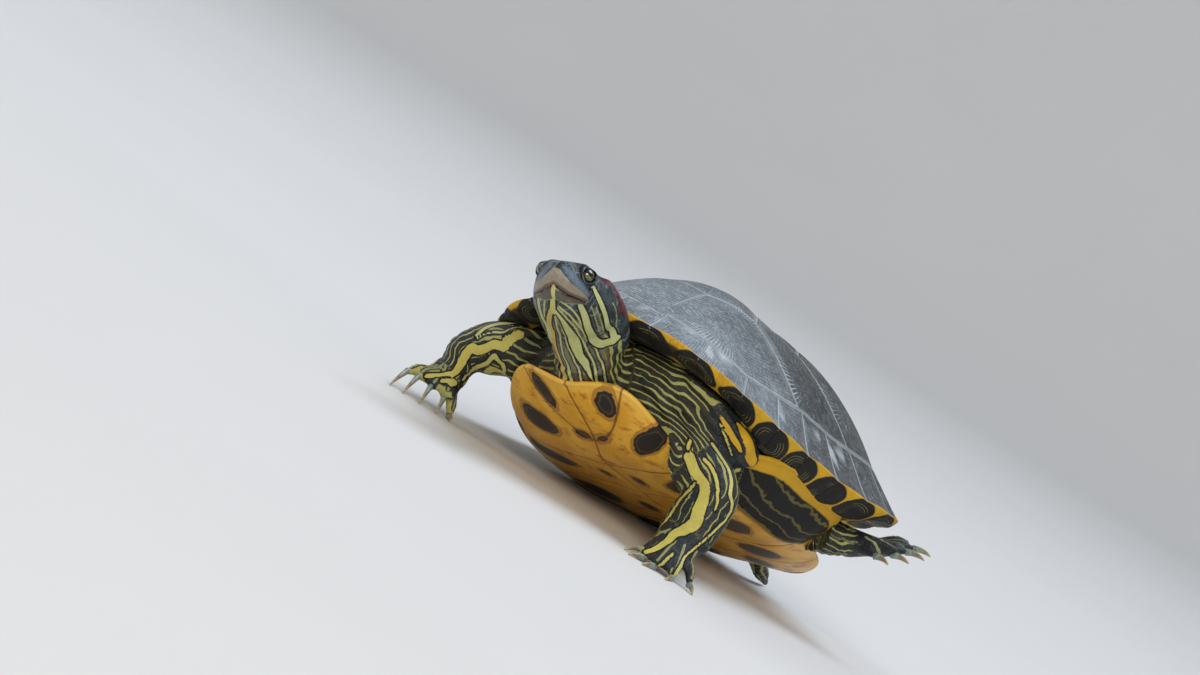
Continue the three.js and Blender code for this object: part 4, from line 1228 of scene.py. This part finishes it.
def bellyHorn():  # smooth keratin, glossy from water: orange yellow, rust stains, dark blotches in rings
    material, add, place = startMaterial("bellyKeratin")
    blotch, row, mid, edgeward, bridge = (add("field", attribute_name=n) for n in (
        "blotch", "row", "mid", "edgeward", "bridge"))
    soft = add("noise", place, 60, 4)
    stain = add("noise", add("stretch", place, (1, 1, 2.2)), 110, 5, 0.7)
    ragged = add("ADD", blotch, add("MULTIPLY", add("SUBTRACT", add("noise", place, 95), 0.5), 5))
    inner = add("fade", add("ABSOLUTE", add("ADD", ragged, 1.6)), 0.5, 0.1, 0, 0.35)
    fromSeam = add("MULTIPLY", add("ABSOLUTE", add("SUBTRACT", row, add("ROUND", row))), 34)
    seam = add("MINIMUM", fromSeam, add("ABSOLUTE", mid))
    colour = add("mix", add("fade", soft, 0.35, 0.65), "#cf951c", "#e6b23c")
    for cover, over in (
            (add("fade", stain, 0.52, 0.68, 0, 0.8), "#a04a10"),
            (add("fade", edgeward, 0.95, 1.0, 0, 0.6), "#e2b54a"),
            (add("fade", ragged, 1.6, 0.9, 0, 0.6), "#6d3d0c"),
            (add("fade", ragged, 0.7, 0.3), "#b77e25"),
            (add("fade", ragged, 0.15, -0.35), add("mix", inner, "#1b1510", "#6b5a2e")),
            (add("fade", seam, 0.75, 0.3, 0, 0.75), "#5a2e0e")):
        colour = add("mix", cover, colour, over)

    # the bridges: dark markings with thin olive lines, painted nearly black as the shade under the shell, and
    # ochre along their borders
    waves = add("SINE", add("ADD", add("MULTIPLY", bridge, 24), add("MULTIPLY", soft, 9)))
    lower = add("ADD", bridge, add("MULTIPLY", soft, 0.25))
    upper = add("ADD", edgeward, add("MULTIPLY", soft, 0.02))
    # the near black here is partly painted shade under the shell
    dark = add("mix", add("fade", waves, 0.78, 0.97, 0, 0.75), "#0e0b08", "#6a6230")
    for cover, over in (
            (add("fade", lower, 0.32, 0.12), "#b98a24"),
            (add("fade", upper, 0.972, 0.98), add("mix", soft, "#a87f10", "#d3a31f"))):
        dark = add("mix", cover, dark, over)
    colour = add("mix", add("fade", bridge, 0.0, 0.08), colour, dark)
    bump = add("bump", add("noise", place, 350, 4), 0.00015)
    roughness = add("fade", bridge, 0.0, 0.1, 0.36, 0.8)
    return endMaterial(material, colour, bump, roughness, ior=1.5, specular=0.35, coat=0.06,
                       coatRoughness=0.2)


def skinLeather():  # dry scaly skin: near black with lime to yellow stripes edged in black, rough and matt
    material, add, place = startMaterial("turtleSkin")
    (stripe, hue, across, gap, half, lineHue, red, blue, brown, pink, shoulder, fan, strong, eyeRing,
     headward) = (add("field", attribute_name=n) for n in (
         "stripe", "hue", "lineAcross", "lineGap", "lineHalf", "lineHue", "red", "blue", "brown", "pink",
         "shoulder", "fan", "fanStrength", "eyeRing", "headward"))
    soft, fine = add("noise", place, 160), add("noise", place, 900, 4, 0.65)
    ragged = add("MULTIPLY", add("SUBTRACT", fine, 0.5), 0.4)
    beyond = add("SUBTRACT", gap, half)

    # a stripe's edges, and those of a thin line, which ends where its nearest point is no longer beside it
    stripeEdge = add("ADD", stripe, ragged)
    ended = add("MULTIPLY", add("SUBTRACT", 1.0, add("fade", beyond, 0.55, 0.35)), 2.0)
    lineEdge = add("SUBTRACT", add("ADD", add("SUBTRACT", half, add("ABSOLUTE", across)), ragged), ended)
    lineShown = add("MULTIPLY", add("fade", lineEdge, -0.12, 0.12), add("fade", lineHue, 0.16, 0.2, 0.5, 0.9))

    # fine stripes: the distance of the swaying fan number from a whole one, against an uneven width; they
    # stop short of the wide stripes and of those drawn singly
    swaying = add("ADD", fan, add("MULTIPLY", add("SUBTRACT", add("noise", place, 62, 2), 0.5), 2.1))
    off = add("ABSOLUTE", add("SUBTRACT", swaying, add("ROUND", swaying)))
    wide = add("fade", add("noise", place, 42, 2), 0.3, 0.7, 0.07, 0.24)
    fanEdge = add("ADD", add("SUBTRACT", add("MULTIPLY", wide, strong), off), add("MULTIPLY", ragged, 0.22))
    clear = add("MULTIPLY", add("fade", stripe, -0.55, -1.1), add("fade", beyond, 0.5, 0.9))
    fanShown = add("MULTIPLY", clear, add("fade", strong, 0.15, 0.35))
    fanned = add("MULTIPLY", add("fade", fanEdge, -0.02, 0.03), fanShown)

    lime, yellow, orange, ochre, tan = (add("mix", soft, *pair) for pair in (
        ("#a9b06e", "#cbcf98"), ("#b3a642", "#d3c768"), ("#b6964a", "#ccb070"), ("#b48a12", "#d8aa20"),
        ("#5b5338", "#8e8660")))

    def tinted(amount):  # the colour of a hue
        colour = lime
        for low, high, over in ((0.0, 0.5, yellow), (0.5, 1.0, orange), (1.0, 1.4, ochre)):
            colour = add("mix", add("fade", amount, low, high), colour, over)
        return colour

    greyed = add("MULTIPLY", headward, add("fade", soft, 0.35, 0.65, 0.1, 0.7))
    crease = add("noise", add("stretch", place, (1, 1, 0.6)), 130, 2, 0.5)
    veins = add("fade", add("ABSOLUTE", add("SUBTRACT", crease, 0.5)), 0.022, 0.008, 0, 0.55)
    apart = add("MINIMUM", add("MULTIPLY", stripe, -1.0), beyond)
    between = add("MULTIPLY", shoulder, add("fade", fanEdge, -0.12, -0.2))
    lidPale = add("MULTIPLY", add("fade", eyeRing, 3.95, 3.8), add("fade", eyeRing, 3.45, 3.6))
    colour = add("mix", soft, "#15191a", "#2b3133")
    for cover, over in (
            # the ground: slate black, with grey, veins, specks that are partly painted glints, and brown
            # under the throat
            (greyed, add("mix", soft, "#2a3234", "#4b575c")),
            (add("MULTIPLY", headward, veins), "#82929b"),
            # pale specks: partly painted glints of wet skin
            (add("fade", fine, 0.55, 0.72, 0, 0.6), "#5f6b6e"),
            (add("MULTIPLY", brown, add("fade", apart, 0.7, 1.0)),
             add("mix", headward, add("mix", soft, "#3c2f1f", "#6b5738"), tan)),
            # olive between the fine stripes, flesh and brown in the groin, and a bluish grey snout that is
            # partly a painted sky reflection
            (add("MULTIPLY", between, 0.9), add("mix", soft, "#16130b", "#3d3820")),
            (add("MULTIPLY", pink, 0.9), add("mix", add("fade", soft, 0.45, 0.6), "#9a6a58", "#4a2f22")),
            # bluish grey on the snout: partly painted sky reflection on wet skin
            (add("fade", add("ADD", blue, ragged), -1.2, 0.9, 0, 0.8),
             add("mix", fine, "#46586a", "#8397a6")),
            # the stripes: fine ones, thin lines, wide ones with a black outline, and the red patch
            (fanned, add("mix", soft, "#8d8a45", "#b9b56c")),
            (lineShown, tinted(lineHue)),
            (add("fade", stripeEdge, -0.95, -0.6), "#0a0a09"),
            (add("fade", stripeEdge, -0.1, 0.15), tinted(hue)),
            (add("fade", add("ADD", red, ragged), -0.6, 0.5, 0, 0.95),
             add("mix", add("fade", soft, 0.42, 0.62), "#420c17", "#6f2831")),
            # lids: dark, with a pale line at their edge
            (add("fade", eyeRing, 5.4, 4.6), "#111416"),
            (add("MULTIPLY", lidPale, 0.5), "#8fa3a8")):
        colour = add("mix", cover, colour, over)
    scales = add("fade", add("cells", place, 620.0), 0.0, 0.16)
    height = add("ADD", add("MULTIPLY", scales, 0.55), add("MULTIPLY", fine, 0.6))
    return endMaterial(material, colour, add("bump", height, 0.00035, 0.7), roughness=0.43, ior=1.42,
                       specular=0.42)


def beakHorn():  # hard worn keratin of the jaws: tan with brown edges and fine upright scratches
    material, add, place = startMaterial("beakKeratin")
    grow, lower, chin, mouth = (add("field", attribute_name=n) for n in ("grow", "lower", "chin", "mouth"))
    scratch = add("noise", add("stretch", place, (1, 1, 0.3)), 500, 4)
    tan, dull = add("mix", scratch, "#5f5648", "#a39a85"), add("mix", scratch, "#35332a", "#5c594a")
    colour = add("mix", lower, tan, dull)
    for cover, over in (
            (add("fade", add("noise", place, 200), 0.5, 0.7, 0, 0.5), "#8a7a5c"),
            (add("fade", grow, 1.1, 0.3, 0, 0.75), "#a8a58f"),  # a pale edge next to the skin
            (add("fade", mouth, 1.3, 0.5, 0, 0.85), "#54361f"),  # a brown worn one along the mouth
            (add("fade", chin, 0.9, 0.6), "#b9b56c")):  # the stripe of the chin
        colour = add("mix", cover, colour, over)
    bump = add("bump", scratch, 0.00025, 0.6)
    return endMaterial(material, colour, bump, roughness=0.38, ior=1.54, coat=0.15, coatRoughness=0.25)


def eyeGlass():  # wet cornea over a yellow-green iris with a dark bar through a round pupil
    material, add, place = startMaterial("eyeCornea")
    polar, across, upward = (add("field", attribute_name=n) for n in ("polar", "across", "upward"))
    bar = add("ABSOLUTE", add("ADD", upward, add("MULTIPLY", across, 0.3)))
    colour = add("mix", add("fade", add("noise", place, 1500, 3, 0.7), 0.35, 0.65), "#3b4014", "#6d702b")
    for cover, over in (
            (add("fade", add("ABSOLUTE", add("SUBTRACT", polar, 17)), 4, 1, 0, 0.7), "#9a9648"),
            (add("fade", polar, 32, 42), "#12120c"),
            (add("fade", bar, 0.26, 0.17, 0, 0.95), "#12110a"),
            (add("fade", upward, 0.22, 0.4, 0, 0.85), "#17180f"),  # the shade of the lid
            (add("fade", polar, 16, 13.5), "#020202")):
        colour = add("mix", cover, colour, over)
    return endMaterial(material, colour, roughness=0.08, ior=1.38, coat=1.0, coatRoughness=0.03)


def clawHorn():  # translucent horn: bluish white at the root, yellow brown towards the point
    material, add, place = startMaterial("clawKeratin")
    body = add("ramp", add("field", attribute_name="length"), stops=[
        (0.0, "#6c7a72"), (0.25, "#93a093"), (0.6, "#8a7d58"), (1.0, "#b9a878")])
    colour = add("mix", add("fade", add("noise", place, 700), 0.4, 0.7, 0, 0.5), body, "#3e3a2c")
    bump = add("bump", add("noise", place, 1200), 0.0001)
    return endMaterial(material, colour, bump, roughness=0.32, ior=1.54, coat=0.2, coatRoughness=0.2)


def stageFinish():  # an even, dull, pale backdrop
    material, add, place = startMaterial("palePaper")
    colour = add("mix", add("noise", place, 3, 2), "#d6d5d2", "#dcdbd8")
    return endMaterial(material, colour, roughness=0.85, ior=1.45)


eyeLow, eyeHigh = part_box("eye_left")
shift = np.array((eyeLow + eyeHigh) / 2) * 1000 - headPoint(*head["eye"]) @ turn.T
print("the turtle's frame is centred at", np.round(shift, 2))

horn = shellHorn()
finishPiece(makeBackBone(), seamHorn(), ["carapace"])
finishPiece(makeDomePlates(), horn, angle=35)
finishPiece(makeRimPlates(), horn, angle=35)
print("back shell made")
finishPiece(makeBelly(), bellyHorn(), ["plastron"])
print("belly shell made")

flesh = makeFlesh()
surface = treeOf(flesh)
horny = beakHorn()
finishPiece(makeBeak("beakUpper", surface, True), horny, angle=40)
finishPiece(makeBeak("beakLower", surface, False), horny, angle=40)
print("skin made:", len(flesh.data.polygons), "faces")
finishPiece(flesh, skinLeather(), [
    "trunk", "neck", "head", "lower_jaw", "tail", "foreleg_left", "foreleg_right", "hindleg_left",
    "hindleg_right", "forefoot_left", "forefoot_right", "hindfoot_left", "hindfoot_right"])

glass = eyeGlass()
for side, node in ((1, "eye_left"), (-1, "eye_right")):
    finishPiece(makeEye(side), glass, [node])
clawFinish = clawHorn()
for foot, label in (("foreLeft", "foreclaw_left"), ("foreRight", "foreclaw_right"),
                    ("hindLeft", "hindclaw_left"), ("hindRight", "hindclaw_right")):
    for k, (toe, tip) in enumerate(feet[foot]["toes"], 1):
        if tip is not None:
            name = f"claw{foot[0].upper()}{foot[1:]}{k}"
            finishPiece(makeClaw(name, toe, tip), clawFinish, [f"{label}_{k}"])
print("eyes and claws made")


# The stage is a round floor that sweeps up into a wall, in metres; the bowl is open above.
stage = {"flat": 3.6, "bend": 1.6, "height": 3.0, "rings": 48}
ground, ring, angle = addBall("ground", 96, stage["rings"])
quarter = stage["bend"] * math.pi / 2
run = ring / stage["rings"] * (stage["flat"] + quarter + stage["height"])
bendTo = clamp01((run - stage["flat"]) / quarter) * math.pi / 2
reach = np.minimum(run, stage["flat"]) + stage["bend"] * np.sin(bendTo)
rise = stage["bend"] * (1 - np.cos(bendTo)) + np.maximum(run - stage["flat"] - quarter, 0)
setPoints(ground, np.stack([reach * np.cos(angle), reach * np.sin(angle), rise], 1))
only(ground)
editMesh(select_mode=("type", "VERT"), select_all=("action", "DESELECT"))
for vertex in ground.data.vertices:
    vertex.select = bool(ring[vertex.index] == stage["rings"])
editMesh(delete=("type", "VERT"))
bpy.ops.object.shade_smooth()
ground.data.materials.append(stageFinish())

# The camera's right, up and backwards in the turtle's frame, its distance in millimetres, its focal length
# over the frame's width, and how far it aims off the middle of the shell.
view = {
    "right": [-0.436, 0.814, 0.384], "up": [0.410, -0.201, 0.890], "back": [0.801, 0.545, -0.246],
    "distance": 2000, "focal": 4504 / 1200, "centre": [-79.8 / 4504, 100.0 / 4504], "sensor": 36,
}
backwards = unit(view["back"])
rightwards = unit(np.array(view["right"]) - backwards * np.dot(view["right"], backwards))
upwards = np.cross(backwards, rightwards)
aim = unit(-backwards + rightwards * view["centre"][0] + upwards * view["centre"][1])
sideways = unit(np.cross(aim, upwards))
axes = np.stack([sideways, np.cross(sideways, aim), -aim], 1)
lens = bpy.data.cameras.new("camera")
lens.sensor_width, lens.lens = view["sensor"], view["sensor"] * view["focal"]
lens.clip_start, lens.clip_end = 0.05, 30
camera = bpy.data.objects.new("camera", lens)
bpy.context.scene.collection.objects.link(camera)
stand = Matrix((turn @ axes).tolist()).to_4x4()
stand.translation = Vector(toRow(backwards * view["distance"]))
camera.matrix_world = stand
bpy.context.scene.camera = camera


def addLamp(name, at, target, size, watts, colour):
    data = bpy.data.lights.new(name, "AREA")
    data.shape, data.size, data.energy = "DISK", size, watts
    data.color = toLinear(colour)[:3]
    lamp = bpy.data.objects.new(name, data)
    bpy.context.scene.collection.objects.link(lamp)
    lamp.location = at
    lamp.rotation_euler = (Vector(target) - Vector(at)).to_track_quat("-Z", "Y").to_euler()


addLamp("overhead", (0.6, 0.9, 4.2), (0, 0, 0), 3.0, 135, "#e6efff")
addLamp("front", (2.6, -3.4, 2.2), (0, 0, 0.05), 1.8, 92, "#fff4e6")
addLamp("side", (-3.4, -1.6, 2.0), (0, 0, 0.05), 1.6, 26, "#ffffff")
world = bpy.data.worlds.new("world")
world.use_nodes = True
sky = world.node_tree.nodes["Background"].inputs
sky[0].default_value, sky[1].default_value = toLinear("#d4dae2"), 0.36
bpy.context.scene.world = world
bpy.context.scene.view_settings.view_transform = "Standard"
print("stage, lamps and camera set")
